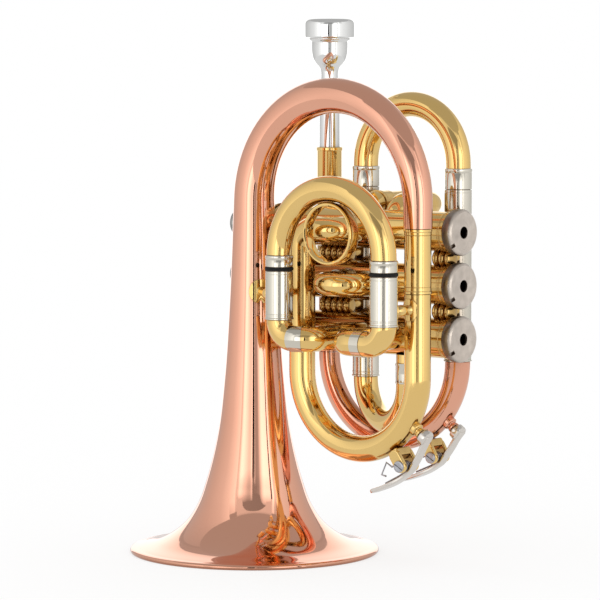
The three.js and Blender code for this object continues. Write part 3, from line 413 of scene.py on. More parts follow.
nickel = nickel_plate("bright nickel silver", nickel_bright, nickel_deep, 0.06, 0.15), "nickel_silver"
satin = nickel_plate("satin nickel silver", satin_bright, satin_deep, 0.24, 0.6, drift=(260, 6)), "satin_nickel"
cap_tree = satin[0].node_tree
cap_base = cap_tree.nodes["Principled BSDF"].inputs["Base Color"]
# The satin colour is multiplied down along each bottom cap's side: painted shade.
cap_depth = cap_tree.nodes.new("ShaderNodeSeparateXYZ")
fed(cap_tree, cap_tree.nodes["Texture Coordinate"].outputs["Object"], cap_depth.inputs[0])
cap_side_shade = ranged(cap_tree, cap_depth.outputs["X"], side_start * mm, side_end * mm, painted_side_shade)
fed(cap_tree, mixed(cap_tree, 1, cap_base.links[0].from_socket, cap_side_shade, "MULTIPLY"), cap_base)
top_line = [(2.7, 0), (6.2, 0), (6.8, 0.5), (8.4, 0.7), (10.6, 2.2), (11.2, 3.1), (11.4, 4.2), (11.4, 7.5),
            (9.9, 7.5), (9.9, 2.2), (2.7, 2.2), (2.7, 0)]
bottom_line = [(3.1, 0.25), (3.1, 0.15), (3.4, 0.05), (9.6, 0.05), (10.0, 0.0), (10.5, 0.0), (10.8, 0.25),
               (11.6, 0.95), (11.9, 1.4), (11.9, 4.6), (11.6, 4.9), (11.6, 5.5), (9.9, 5.5), (9.9, 1.8),
               (8.9, 1.8), (8.9, 1.6), (3.1, 1.6), (3.1, 0.25)]
top_cap = turned(top_line, spot(top_cap_face, valve_y, top_valve), right, sides=72, edge=0.2)
bottom_cap = turned(bottom_line, spot(bottom_cap_face, valve_y, top_valve), -right, sides=72, edge=0.12)
notch_place = spot(bottom_cap_face + notch_sink, valve_y, top_valve) + notch_way * notch_reach * mm
bpy.ops.mesh.primitive_cube_add(size=mm, location=notch_place, scale=notch_sizes,
                                rotation=(math.atan2(notch_way.z, notch_way.y), 0, 0))
cut(bottom_cap, bpy.context.object)
for number, height in enumerate(valve_heights, 1):
    for cap, end, metal in ((top_cap, "top", nickel), (bottom_cap, "bottom", satin)):
        fitted(copied(cap, spot(0, 0, height - top_valve)), f"valve_{end}_cap_{number}", metal, "horn",
               f"{end}_cap_{number}")
for pattern in (top_cap, bottom_cap):
    bpy.data.objects.remove(pattern)

# ---- Pistons, stems, buttons and valve springs ----
# Each piston slides in its casing on a steel coil spring that stands on the bottom cap. Its stem comes out
# through the top cap and carries a dished finger button.
button_face, stem_start, piston_start = -61.25, -58.95, 11.15
spring_start, spring_end, spring_radius, spring_wire = 13.95, 90.75, 6.15, 0.5
spring_turns, turn_cuts = 15, 14


def wire_along(places, radius, round_steps=3):
    """Round wire bent along places."""
    line_of(places)
    set_down()
    bpy.ops.object.convert(target="CURVE")
    wire = bpy.context.object.data
    wire.bevel_depth, wire.bevel_resolution, wire.use_fill_caps = radius * mm, round_steps, True
    bpy.ops.object.convert(target="MESH")
    return set_down(50)


smoked = nickel_plate("smoked nickel", (0.40, 0.39, 0.37, 1), (0.30, 0.29, 0.27, 1), 0.16, 0.3), "nickel_silver"
steel = nickel_plate("spring steel", (0.55, 0.55, 0.57, 1), (0.42, 0.42, 0.45, 1), 0.22, 0.3), "spring_steel"
stem = turned([(0, 0), (2.4, 0), (2.4, 23.4), (5.0, 23.4), (5.4, 23.8), (5.4, 24.6), (2.4, 24.6), (2.4, 69.8),
               (2.1, 69.8), (2.1, 73.4), (0, 73.4)],
              spot(stem_start, valve_y, top_valve), right, sides=32, edge=0.1)
button = turned([(0, 0.6), (3.2, 0.5), (5.3, 0.35), (5.9, 0.0), (6.6, 0.0), (7.1, 0.25), (7.4, 0.9), (7.4, 1.9),
                 (7.0, 2.6), (5.6, 3.4), (4.6, 4.0), (4.4, 4.6), (2.7, 4.6), (2.7, 2.0), (0, 2.0)],
                spot(button_face, valve_y, top_valve), right, sides=64, edge=0.12)
piston = turned([(2.4, 0), (8.2, 0), (8.6, 0.4), (8.6, 20), (8.5, 20.2), (8.5, 21.4), (8.6, 21.6), (8.6, 49.7),
                 (8.3, 50), (7.4, 50), (7.4, 2.4), (2.4, 2.4), (2.4, 0)],
                spot(piston_start, valve_y, top_valve), right, sides=56, edge=0.1)
coil, coil_cuts = [], spring_turns * turn_cuts
coil_length = spring_end - spring_start - 2 * spring_wire
for step in range(coil_cuts + 1):
    turn = 2 * math.pi * step / turn_cuts
    along = spring_start + spring_wire + coil_length * step / coil_cuts
    coil.append(spot(along, valve_y + spring_radius * math.cos(turn),
                     top_valve + spring_radius * math.sin(turn)))
spring = wire_along(coil, spring_wire, 2)
for number, height in enumerate(valve_heights, 1):
    drop, body = spot(0, 0, height - top_valve), f"valve_{number}"
    for part, name, metal, node in ((stem, "rod", nickel, "valve_stem"),
                                    (button, "button", smoked, "finger_button"),
                                    (piston, "piston", nickel, "piston")):
        fitted(copied(part, drop), f"valve_{name}_{number}", metal, body, f"{node}_{number}")
    valve_coil = fitted(copied(spring, drop), f"valve_coil_{number}", steel, "horn", f"valve_spring_{number}")
    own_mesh(valve_coil)
for pattern in (stem, button, piston, spring):
    bpy.data.objects.remove(pattern)

# ---- Receiver, leadpipe and rear bow ----
# A brass receiver with a ringed mouth takes the mouthpiece. The rose brass leadpipe runs down from it, round
# the bottom in a bow that widens, and up into the far tube of the tuning slide.
lead_x, lead_y, far_x = -14.65, 45.1, 72.45
receiver_foot, lead_top, lead_length = 158, 157.7, 53.6
lead_radius, rear_radius, rear_end, rear_bend, rear_foot, rear_top = 5.7, 6.2, 6.7, 43.55, 103.75, 103.8
rear_drain = -0.7
receiver = turned([(5.0, 0), (6.3, 0), (6.6, 0.4), (6.6, 3.2), (6.45, 3.35), (6.6, 3.5), (6.6, 53.2),
                   (6.75, 53.5), (6.95, 53.7), (6.95, 55.1), (6.6, 55.4), (5.8, 55.4), (5.3, 31.4), (5.0, 28.4),
                   (5.0, 0)], spot(lead_x, lead_y, receiver_foot), up)
fitted(receiver, "receiver", gold, "horn", "mouthpiece_receiver")
leadpipe = drawn(spot(lead_x, lead_y, lead_top), -up, lead_radius, [lead_length])
fitted(leadpipe, "leadpipe_tube", rose, "horn", "leadpipe")
rear_middle = spot((lead_x + far_x) / 2, lead_y, rear_foot)
rear_bow = drawn(spot(lead_x, lead_y, rear_top), -up, lead_radius,
                 [(90, right, rear_bend, rear_radius), (90, up, rear_bend, rear_end)])
rear_bow = together(rear_bow, drain_tower(rear_middle, rear_bend + (rear_radius + rear_end) / 2, rear_drain))
fitted(rear_bow, "rear_bow_tube", rose, "horn", "rear_bow")

# ---- Mouthpiece ----
# The mouthpiece is turned from one brass bar and silver plated: a thick rim, a cup, a narrow throat and a
# tapered shank that is pushed into the receiver. Its outline runs down from the rim. The cup is left bare.
mouthpiece_top = 281.6
rim_line = [(8.35, 1.9), (8.7, 1.0), (9.4, 0.35), (10.3, 0.0), (11.2, 0.1), (12.2, 0.5), (13.0, 1.3),
            (13.35, 2.2), (13.4, 3.2), (13.4, 9.3), (13.25, 9.8), (12.8, 10.0), (11.4, 10.3), (11.2, 10.5),
            (11.2, 10.9), (10.9, 11.4), (10.0, 11.9)]
cup_line = [(9.75, 12.3), (9.75, 15.5), (9.5, 18.5), (8.8, 21.4), (7.4, 23.8), (5.8, 25.4), (4.9, 27),
            (4.5, 29.5)]
shank_line = [(4.6, 33), (5.1, 40), (5.45, 46), (5.5, 68), (5.0, 92.2)]
bore_line = [(2.0, 92.2), (2.0, 25.6), (5.1, 19.4), (8.35, 10.2), (8.35, 1.9)]
silver = nickel_plate("silver plate", (0.90, 0.90, 0.89, 1), (0.85, 0.85, 0.83, 1), 0.035, 0.06), "silver_plate"
mouthpiece = turned([(r, -h) for r, h in rim_line + eased(cup_line, 5) + shank_line + bore_line],
                    spot(lead_x, lead_y, mouthpiece_top), up, sides=96, edge=None)
fitted(mouthpiece, "mouthpiece_cup_and_shank", silver, "mouthpiece", "mouthpiece")

# ---- Tuning slide tubes and low crook ----
# Two outer tubes of nickel silver, beaded at the foot, take the tuning slide. From the near one a brass
# crook goes down, across and up into valve 3, with a nickel ferrule where it enters.
slide_radius, crook_radius = 7.1, 6.5
tuning_near, tuning_mouth = 10.75, 193
tuning_feet = {"far": 104.1, "near": 92.5}
crook_top, crook_dip, crook_reach, crook_rise = 92.2, 19.0, 27.88, 16.2
crook_way = Vector((46.0, -21.0, 0)).normalized()
port_ferrule_x, port_ferrule_foot = 56.75, 92.9


def slide_tube(length, place, way=up, radius=slide_radius):
    """An outer slide tube with two turned beads at its foot and a plain, broken mouth."""
    bore, bead = radius - 0.6, radius + 0.35
    return turned([(bore, 0), (bead, 0), (bead, 0.7), (radius, 1.0), (radius, 2.0), (radius + 0.15, 2.2),
                   (radius + 0.15, 2.7), (radius, 2.9), (radius, length - 1.6), (radius - 0.12, length - 1.45),
                   (radius, length - 1.3), (radius, length), (bore, length), (bore, 0)], place, way)


for end, x in (("far", far_x), ("near", tuning_near)):
    foot = tuning_feet[end]
    fitted(slide_tube(tuning_mouth - foot, spot(x, lead_y, foot)), f"tuning_outer_{end}", nickel, "horn",
           f"tuning_tube_{end}")
low_crook = drawn(spot(tuning_near, lead_y, crook_top), -up, crook_radius,
                  [0.3, (45, crook_way, crook_dip), (90, up, crook_reach), (45, up, crook_dip), crook_rise])
fitted(reamed(low_crook, low_valve), "low_crook_tube", gold, "horn", "low_crook")
port_ferrule = turned([(6.5, 0), (6.85, 0.1), (6.95, 0.9), (6.75, 1.2), (6.75, 9.2), (6.95, 9.5), (6.95, 10.6),
                       (6.5, 10.8)], spot(port_ferrule_x, valve_y, port_ferrule_foot), up, edge=None)
fitted(port_ferrule, "crook_port_ferrule", nickel, "horn")

# ---- Tuning slide ----
# A brass bow with two long inner legs of nickel silver, joined by collars that meet the outer tubes. It is
# pulled up to tune the horn.
tuning_foot, tuning_crown, tuning_bend = 203.8, 236.8, 30.85
tuning_insert, tuning_collar = 72, 11
collar_gap = 0.3


def slide_leg(insert, collar, place):
    """An inner slide leg with the collar that meets the outer tube, two fine rings turned in its edge."""
    radius, leg = slide_radius, slide_radius - 0.9
    return turned([(leg - 0.6, -insert), (leg, -insert), (leg, collar_gap), (radius, collar_gap),
                   (radius, collar - 2.4), (radius - 0.14, collar - 2.2), (radius, collar - 2.0),
                   (radius + 0.1, collar - 1.5), (radius + 0.2, collar - 0.9), (radius + 0.1, collar - 0.3),
                   (radius - 0.3, collar), (leg - 0.6, collar), (leg - 0.6, -insert)], place, up)


def slide_bow(start, way, straight, bend, radius=crook_radius):
    """The bow of a slide: straight for a length, half round to the right, and straight back."""
    return drawn(start, way, radius, [straight, (180, right, bend), straight])


for end, x in (("near", tuning_near), ("far", far_x)):
    fitted(slide_leg(tuning_insert, tuning_collar, spot(x, lead_y, tuning_mouth)), f"tuning_leg_{end}", nickel,
           "tuning_slide")
tuning_bow = slide_bow(spot(tuning_near, lead_y, tuning_foot), up, tuning_crown - tuning_bend - tuning_foot,
                       tuning_bend)
fitted(tuning_bow, "tuning_bow", gold, "tuning_slide", "tuning_slide")

# ---- Third valve slide ----
# Knuckles come out of valve 3 toward the bell and turn up into two nickel silver tubes. Rubber rings stop the
# slide on them, and a brass ring soldered under its bow takes the ring finger, which throws it.
third_y, third_near, third_far = -28.7, 13.95, 83.0
third_foot, third_mouth, third_stop, third_shoulder, third_start = 127.3, 152, 152.3, 154.1, 160.4
third_crown, third_bend, third_insert, third_collar = 195.2, 34.525, 21, 6.1
third_ports = (33.15, 54.15)
port_height, port_turn, port_run = 127, 9.3, 36.6
band_radius, band_wall = 6.75, 0.25
band_near_x, band_far_x, band_run, band_turn, band_length = 23.25, 71.4, 0.9, 30, 5.8
ring_x, ring_height, ring_width = 48.475, 172.4, 7


def grained(name, rough, kind, scale, first, second):
    """A dull finish whose colour goes from one to another with a grain."""
    finish, tree, shader = new_finish(name)
    shader.inputs["Roughness"].default_value = rough
    pattern = grain(tree, tree.nodes.new("ShaderNodeTexCoord"), kind, scale)
    fed(tree, mixed(tree, pattern, first, second), shader.inputs["Base Color"])
    return finish, tree, shader, pattern


rubber, _, rubber_shader, _ = grained("black rubber", 0.6, "ShaderNodeTexNoise", 900,
                                      (0.004, 0.004, 0.004, 1), (0.012, 0.011, 0.010, 1))
rubber_shader.inputs["Specular IOR Level"].default_value = 0.2
for end, x, port, side in (("near", third_near, third_ports[0], 1), ("far", third_far, third_ports[1], -1)):
    run = abs(port - x) - port_turn - knee
    knuckle = drawn(spot(x, third_y, port_height), -up, crook_radius,
                    [(90, right * side, port_turn), run, (90, back, knee), port_run])
    fitted(reamed(knuckle, low_valve), f"third_port_tube_{end}", gold, "horn", f"third_knuckle_{end}")
    fitted(slide_tube(third_mouth - third_foot, spot(x, third_y, third_foot)), f"third_outer_{end}", nickel,
           "horn", f"third_tube_{end}")
    fitted(slide_leg(third_insert, third_collar, spot(x, third_y, third_shoulder)), f"third_inner_{end}",
           nickel, "third_slide", f"third_leg_{end}")
    ring = turned([(6.5, 0), (7.1, 0), (7.35, 0.4), (7.4, 0.9), (7.35, 1.4), (7.1, 1.8), (6.5, 1.8), (6.5, 0)],
                  spot(x, third_y, third_stop), up, edge=None)
    fitted(ring, f"third_stop_{end}", (rubber, "rubber"), "third_slide", f"third_bumper_{end}")
band_near = drawn(spot(band_near_x, third_y, low_valve), right, band_radius,
                  [band_run, (band_turn, back, knee)], band_wall)
band_far = drawn(spot(band_far_x, third_y, low_valve), -right, band_radius, [band_length], band_wall)
fitted(band_near, "third_band_near", nickel, "horn")
fitted(band_far, "third_band_far", nickel, "horn")
third_bow = slide_bow(spot(third_near, third_y, third_start), up, third_crown - third_bend - third_start,
                      third_bend)
fitted(third_bow, "third_bow", gold, "third_slide", "third_slide_bow")
finger_ring = turned([(14.2, 0.4), (14.7, 0), (15.4, 0), (15.85, 0.45), (16, 1.2), (16, 5.8), (15.85, 6.55),
                      (15.4, 7), (14.7, 7), (14.2, 6.6), (14, 5.8), (14, 1.2), (14.2, 0.4)],
                     spot(ring_x, third_y - ring_width / 2, ring_height), back, sides=96, edge=None)
fitted(finger_ring, "third_finger_ring", gold, "third_slide", "third_slide_ring")

# ---- Second and first valve slides ----
# The second slide is a tight brass bow straight out toward the bell. The first comes up out of its valve and
# goes out between the tuning tubes. Both are pulled only to tune or to drain.
short_bend, leg_wall = 10, 0.6
second_ports, second_height = (24.55, 44.55), 145.0
second_tube_y, second_tube_radius, second_leg_y, second_bow_y = 14.4, 6.6, 12.8, 3.4
second_radius, second_leg_radius, second_straight = 6.0, 5.7, 4.9
second_tube_length, second_leg_length = 10.7, 10.2
first_ports, first_height, first_start = (25.95, 45.95), 184.4, 34.7
first_tube_length, first_leg_length, first_gap = 9.1, 9.0, 0.3
elbow_radius, elbow_bend, elbow_lift, elbow_back, elbow_end = 6.8, 7, 2, 6.7, 2.4
first_leg_y, first_leg_radius, first_bow_y, first_straight = 37.7, 6.2, 44.4, 6.9
for number, x in enumerate(second_ports, 1):
    tube = slide_tube(second_tube_length, spot(x, second_tube_y, second_height), -back, second_tube_radius)
    fitted(tube, f"second_outer_{number}", nickel, "horn", f"second_tube_{number}")
second_bow = slide_bow(spot(second_ports[0], second_bow_y, second_height), -back, second_straight, short_bend,
                       second_radius)
second_legs = [drawn(spot(x, second_leg_y, second_height), -back, second_leg_radius, [second_leg_length],
                     leg_wall) for x in second_ports]
fitted(together(second_bow, *second_legs), "second_bow", gold, "second_slide", "second_slide_bow")
elbow_foot = top_valve + elbow_lift
for number, x in enumerate(first_ports, 1):
    elbow = drawn(spot(x, first_start - elbow_back, elbow_foot), up, elbow_radius,
                  [first_height - elbow_bend - elbow_foot, (90, back, elbow_bend), elbow_end], leg_wall)
    tube = slide_tube(first_tube_length, spot(x, first_start + first_gap, first_height), back)
    fitted(together(tube, reamed(elbow, top_valve)), f"first_outer_{number}", gold, "horn",
           f"first_tube_{number}")
first_bow = slide_bow(spot(first_ports[0], first_bow_y, first_height), back, first_straight, short_bend)
first_legs = [drawn(spot(x, first_leg_y, first_height), back, first_leg_radius, [first_leg_length], leg_wall)
              for x in first_ports]
fitted(together(first_bow, *first_legs), "first_bow", gold, "first_slide", "first_slide_bow")

# ---- Braces ----
# A turned post with a ball in its middle ends in two thin plates, bent to the tubes they are soldered to.
# One holds the bell to the tail bow, and two hold the third slide, to the tail bow and to the bell.
brace_post = 1.7
plate_thick, plate_rings = 0.8, 7
bell_reach, bell_brace_height, bell_brace_length, plate_gap = 12.45, 139.5, 14.2, 0.15
slide_brace_x, slide_brace_y, slide_brace_height, slide_brace_length = 83.1, -21.7, 134.3, 13.1
slide_plate_y, stay_height, stay_length = -21.5, 139, 29.35


def brace_plate(centre, way, radius, tube):
    """A thin round plate bent to a tube's skin, its outside facing along a way."""
    disc_at(centre, way, radius, 56)
    for _ in range(plate_rings):
        bpy.ops.mesh.inset(thickness=radius * 0.13 * mm)
    bpy.ops.mesh.poke()
    plate = worked(set_down(), "SHRINKWRAP", target=tube, wrap_method="NEAREST_SURFACEPOINT")
    return broken_edges(worked(plate, "SOLIDIFY", thickness=plate_thick * mm, offset=1), 0.2, 2, 50)


def post_between(foot, way, length):
    """The turned post of a brace, with its ball and a foot at each end."""
    half = [(0, 0), (3.0, 0), (2.7, 0.7), (2.1, 1.4), (brace_post, 2.4), (brace_post, length / 2 - 3.2),
            (2.1, length / 2 - 2.7), (2.6, length / 2 - 2.0), (2.95, length / 2 - 1.0), (3.05, length / 2)]
    return turned(half + [(r, length - h) for r, h in half[-2::-1]], foot, way, sides=36, edge=None)


def brace(name, foot, way, length, plate, far_plate, *nodes):
    """A post with a plate at each end. A plate is given by its place, its radius and the tube it is on."""
    post = post_between(foot, way, length)
    ends = [brace_plate(place, side, radius, tube)
            for side, (place, radius, tube) in ((way, plate), (-way, far_plate))]
    fitted(together(post, *ends), name, gold, "horn", *nodes)


third_outer_near, third_outer_far = (bpy.data.objects[f"third_outer_{end}"] for end in ("near", "far"))
brace_foot = spot(bell_x + bell_reach, bell_y, bell_brace_height)
brace("bell_brace_post", brace_foot, right, bell_brace_length, (brace_foot, 6.6, bell),
      (spot(near_x - tail_radius - plate_gap, bell_y, bell_brace_height), 6.3, tail_bow), "bell_brace")
brace("slide_brace_post", spot(slide_brace_x, slide_brace_y, slide_brace_height), back, slide_brace_length,
      (spot(third_far, slide_plate_y, slide_brace_height), 5.2, third_outer_far),
      (spot(tail_x, bell_y - tail_radius, slide_brace_height), 5.6, tail_bow), "slide_brace")
stay_way = spot(third_near - bell_x, third_y - bell_y, 0).normalized()
stay_foot = spot(bell_x, bell_y, stay_height) + stay_way * bell_reach * mm
brace("slide_stay_post", stay_foot, stay_way, stay_length, (stay_foot, 6.4, bell),
      (stay_foot + stay_way * stay_length * mm, 5.2, third_outer_near))

# ---- Water keys ----
# A saddle soldered under each bow holds a nickel lever on a slotted screw. A coiled steel spring keeps its
# cup, with a cork disc pressed in, over the drain, and the thumb lifts it by the paddle.
key_span, hinge_rise = 16.2, 9.4
key_reach = {"front": 45.2, "rear": 50.0}
lever_line = [(-0.12, 0.98), (0.19, 0.98), (0.46, 1.1), (0.81, 1.28), (1, 1.4), (1.18, 1.43), (1.65, 1.48),
              (2.3, 1.62)]
lever_width, paddle_width, lever_thick = 5.2, 7.8, 2.0
hook_line = [(1.35, -0.16), (1.57, -0.38), (0.9, -0.75), (0.7, -0.36)]
tongue_line = [(0.8, 0.19), (1.86, 0.03)]
wire_radius, coil_start, coil_radius, coil_pitch, coil_turns, coil_steps = 0.48, -2.95, 2.3, 1.3, 2.5, 20
ear_radius, ear_thick, ear_spread, ear_drop = 3.4, 2.6, 3.6, 6
saddle_drop, saddle_sizes = 7.2, (2 * ear_radius - 0.3, 2 * (ear_spread + ear_thick) - 0.6, 4.6)
screw_proud, screw_slot, slot_turn = 1.2, (8, 1.1, 0.7), 0.5
barrel_length, web_rise, web_back, web_sizes = 6.6, 2.6, 2.15, (3.0, 1.7, 3.0)
lever_nickel = (nickel_plate("worn nickel lever", (0.86, 0.82, 0.76, 1), (0.72, 0.66, 0.6, 1), 0.13, 0.4),
                "nickel_silver")
cork, cork_tree, cork_shader, cork_grain = grained("pressed cork", 0.85, "ShaderNodeTexVoronoi", 1400,
                                                   (0.42, 0.24, 0.11, 1), (0.2, 0.1, 0.045, 1))
cork_pits = cork_tree.nodes.new("ShaderNodeBump")
cork_pits.inputs["Distance"].default_value = 0.2 * mm
fed(cork_tree, cork_grain, cork_pits.inputs["Height"])
fed(cork_tree, cork_pits.outputs["Normal"], cork_shader.inputs["Normal"])


def block(centre, sizes, across, out, edge=0.3):
    """A filed block: sizes along a direction across, along the hinge, and along a direction out."""
    turn = Matrix((across, back, out)).transposed()
    bpy.ops.mesh.primitive_cube_add(size=1, location=centre, rotation=turn.to_euler(),
                                    scale=[s * mm for s in sizes])
    return broken_edges(set_down(), edge, 3)


def saddle_ear(hinge, out, y):
    """One ear of a saddle: round over the hinge, with its foot drawn down to the tube."""
    disc_at(hinge, back, ear_radius, 48, roll="X")
    bpy.ops.mesh.select_all(action="DESELECT")
    bpy.ops.object.mode_set(mode="OBJECT")
    ear = bpy.context.object
    for v in ear.data.vertices:
        v.select = (ear.matrix_world @ v.co - hinge).dot(out) < -0.1 * mm
    bpy.ops.object.mode_set(mode="EDIT")
    bpy.ops.transform.translate(value=-out * ear_drop * mm)
    bpy.ops.mesh.select_all(action="SELECT")
    bpy.ops.transform.translate(value=back * y * mm)
    bpy.ops.mesh.extrude_region_move(TRANSFORM_OT_translate={"value": back * ear_thick * mm})
    return broken_edges(closed_up(), 0.8, 4)


def lever_bar(places, y):
    """The lever's bar, a strip drawn through places that swells to the paddle and is rounded at its tip."""
    start, half = spot(places[0][0], y, places[0][1]), back * lever_width / 2 * mm
    line_of([start - half, start + half])
    width = lever_width
    for i, (before, (x, z)) in enumerate(zip(places, places[1:]), 1):
        swell = min(max((i / (len(places) - 1) - 0.70) / 0.15, 0), 1)
        wanted = lever_width + (paddle_width - lever_width) * (3 * swell ** 2 - 2 * swell ** 3)
        ahead = spot(x - before[0], 0, z - before[1])
        bpy.ops.mesh.extrude_region_move(TRANSFORM_OT_translate={"value": ahead})
        bpy.ops.transform.resize(value=(1, wanted / width, 1), center_override=spot(x, y, z))
        width = wanted
    bpy.ops.mesh.bevel(offset=3.2 * mm, segments=7, affect="VERTICES")
    return broken_edges(worked(closed_up(), "SOLIDIFY", thickness=lever_thick * mm, offset=0), 0.7, 4)


spring_bends = [(a * hinge_rise, r * hinge_rise, coil_start) for a, r in hook_line]
for step in range(int(coil_turns * coil_steps) + 1):
    turn = -math.pi / 2 - 2 * math.pi * step / coil_steps
    spring_bends.append((coil_radius * math.cos(turn), coil_radius * math.sin(turn),
                         coil_start + coil_pitch * step / coil_steps))
coil_end = coil_start + coil_pitch * coil_turns
spring_bends += [(a * hinge_rise, r * hinge_rise, coil_end) for a, r in tongue_line]
for side, middle, drain in (("front", tail_middle, front_drain), ("rear", rear_middle, rear_drain)):
    reach, carrier = key_reach[side], f"water_key_{side}"
    hinge_angle = drain - key_span / reach
    out, away, drain_out = outward(hinge_angle), outward(hinge_angle - math.pi / 2), outward(drain)
    drain_seat = middle + drain_out * reach * mm
    hinge = middle + out * (reach + hinge_rise) * mm

    saddle = [block(hinge - out * saddle_drop * mm, saddle_sizes, away, out, edge=1.0)]
    saddle += [saddle_ear(hinge, out, y) for y in (-ear_spread - ear_thick, ear_spread)]
    fitted(together(*saddle), f"key_saddle_{side}", gold, "horn", f"water_key_saddle_{side}")

    head = hinge - back * (ear_spread + ear_thick + screw_proud) * mm
    screw = turned([(0, 0.25), (1.6, 0.12), (2.4, 0.0), (2.8, 0.15), (3.0, 0.5), (3.0, 1.2), (0.9, 1.2),
                    (0.9, 13.6), (0, 13.6)], head, back, sides=40, edge=0.08)
    bpy.ops.mesh.primitive_cube_add(size=mm, location=head, scale=screw_slot, rotation=(0, slot_turn, 0))
    fitted(cut(screw, bpy.context.object), f"key_screw_{side}", steel, "horn")

    marks = []
    for share, rise in lever_line:
        angle = drain + (hinge_angle - drain) * share
        place = middle + outward(angle) * (reach + hinge_rise * rise) * mm
        marks.append((place.x / mm, place.z / mm))
    bar = lever_bar(eased(marks, 5), middle.y / mm)
    cup = turned([(0, 8.2), (3.6, 8.2), (3.6, 5.9), (3.8, 5.7), (4.2, 5.8), (4.3, 6.3), (4.3, 8.3), (4.1, 8.9),
                  (3.4, 9.4), (2.0, 9.7), (0, 9.8)], drain_seat, drain_out, sides=48, edge=None)
    barrel = turned([(1.2, 0), (1.5, 0.2), (1.5, 6.4), (1.2, 6.6), (1.0, 6.6), (1.0, 0), (1.2, 0)],
                    hinge - back * barrel_length / 2 * mm, back, sides=32, edge=None)
    web = block(hinge + out * web_rise * mm + back * web_back * mm, web_sizes, away, out)
    fitted(together(bar, cup, barrel, web), f"key_lever_{side}", lever_nickel, carrier,
           f"water_key_lever_{side}")
    pad = turned([(0, 4.9), (3.0, 4.9), (3.3, 5.2), (3.3, 8.0), (0, 8.0)], drain_seat, drain_out, sides=40,
                 edge=0.1)
    fitted(pad, f"key_cork_{side}", (cork, "cork"), carrier, f"water_key_cork_{side}")

    bends = [hinge + (away * a + out * r + back * y) * mm for a, r, y in spring_bends]
    fitted(wire_along(bends, wire_radius), f"key_spring_wire_{side}", steel, carrier,
           f"water_key_spring_{side}")

# ---- Studio ----
# A white sweep in a small tent: tall soft boxes on both sides of the camera, pale scrims to the left and
# right, and a dim ceiling. Only the polish sees the tent, which gives it its bands.
paper_glow = 0.7
to_camera, to_right = Vector((0.652, -0.758, 0)), Vector((0.758, 0.652, 0))
tent_radius, tent_top, tent_foot, brightest = 0.75, 0.87, -0.01, 2.0
level = ((0, 1), (tent_top, 1))


def counted(tree, operation, first, second):
    """Works out one number from two."""
    sum_of = tree.nodes.new("ShaderNodeMath")
    sum_of.operation = operation
    fed(tree, first, sum_of.inputs[0])
    fed(tree, second, sum_of.inputs[1])
    return sum_of.outputs[0]


bpy.ops.mesh.primitive_plane_add(size=9)
floor = bpy.context.object
floor.name = "studio_floor"
paper, paper_tree, paper_shader = new_finish("white paper")
paper_shader.inputs["Roughness"].default_value = 1.0
paper_shader.inputs["Specular IOR Level"].default_value = 0.0
paper_shader.inputs["Base Color"].default_value = (1, 1, 1, 1)
paper_ray = paper_tree.nodes.new("ShaderNodeLightPath").outputs
paper_seen = counted(paper_tree, "MAXIMUM", paper_ray["Is Camera Ray"], paper_ray["Is Glossy Ray"])
paper_seen = counted(paper_tree, "MAXIMUM", paper_seen, paper_ray["Is Transmission Ray"])
paper_lit = paper_tree.nodes.new("ShaderNodeMixShader")
fed(paper_tree, counted(paper_tree, "MULTIPLY", paper_seen, paper_glow), paper_lit.inputs["Fac"])
fed(paper_tree, paper_shader.outputs["BSDF"], paper_lit.inputs[1])
fed(paper_tree, paper_tree.nodes.new("ShaderNodeEmission").outputs["Emission"], paper_lit.inputs[2])
fed(paper_tree, paper_lit.outputs["Shader"], paper_tree.nodes["Material Output"].inputs["Surface"])
floor.data.materials.append(paper)


def round_tent(degrees, height, away=tent_radius):
    """A place on the tent's wall, by its angle from the camera and its height."""
    turn = math.radians(degrees)
    return (to_camera * math.cos(turn) + to_right * math.sin(turn)) * away + Vector((0, 0, height))


def stepped(tree, value, stops):
    """A brightness that follows a value through stops."""
    low, high = stops[0][0], stops[-1][0]
    ramp = tree.nodes.new("ShaderNodeValToRGB")
    steps = ramp.color_ramp.elements
    for where, _ in stops[1:-1]:
        steps.new((where - low) / (high - low))
    for step, (_, share) in zip(steps, stops):
        step.color = (share, share, share, 1)
    fed(tree, ranged(tree, value, low, high), ramp.inputs["Fac"])
    return ramp.outputs["Color"]


def lit(card, name, round_glow, rise_share=level, middle=0):
    """Lights a card that only the polish sees: its glow by angle, and its share of that by height."""
    card.name = name
    card.visible_camera = card.visible_diffuse = card.visible_shadow = card.visible_transmission = False
    shade, tree, shader = new_finish(name)
    tree.nodes.remove(shader)
    light = tree.nodes.new("ShaderNodeEmission")
    fed(tree, light.outputs["Emission"], tree.nodes["Material Output"].inputs["Surface"])
    place = tree.nodes.new("ShaderNodeTexCoord").outputs["Object"]
    reaches = []
    for degrees in (middle + 90, middle):
        reach = tree.nodes.new("ShaderNodeVectorMath")
        reach.operation = "DOT_PRODUCT"
        reach.inputs[1].default_value = round_tent(degrees, 0, 1)
        fed(tree, place, reach.inputs[0])
        reaches.append(reach.outputs["Value"])
    height = tree.nodes.new("ShaderNodeSeparateXYZ")
    fed(tree, place, height.inputs[0])
    stops = [(math.radians(degrees - middle), glow / brightest) for degrees, glow in round_glow]
    glow = counted(tree, "MULTIPLY", stepped(tree, counted(tree, "ARCTAN2", *reaches), stops),
                   stepped(tree, height.outputs["Z"], rise_share))
    fed(tree, counted(tree, "MULTIPLY", glow, brightest), light.inputs["Strength"])
    card.data.materials.append(shade)


def wall(name, low, high, round_glow, rise_share=level, away=tent_radius):
    """An upright scrim round the tent, from its first angle to its last."""
    first, last = round_glow[0][0], round_glow[-1][0]
    line_of([round_tent(first, low, away), round_tent(first, high, away)])
    bpy.ops.mesh.spin(steps=max(2, round((last - first) / 4)), angle=math.radians(last - first),
                      center=(0, 0, 0), axis=-up)
    lit(set_down(60), name, round_glow, rise_share, (first + last) / 2)


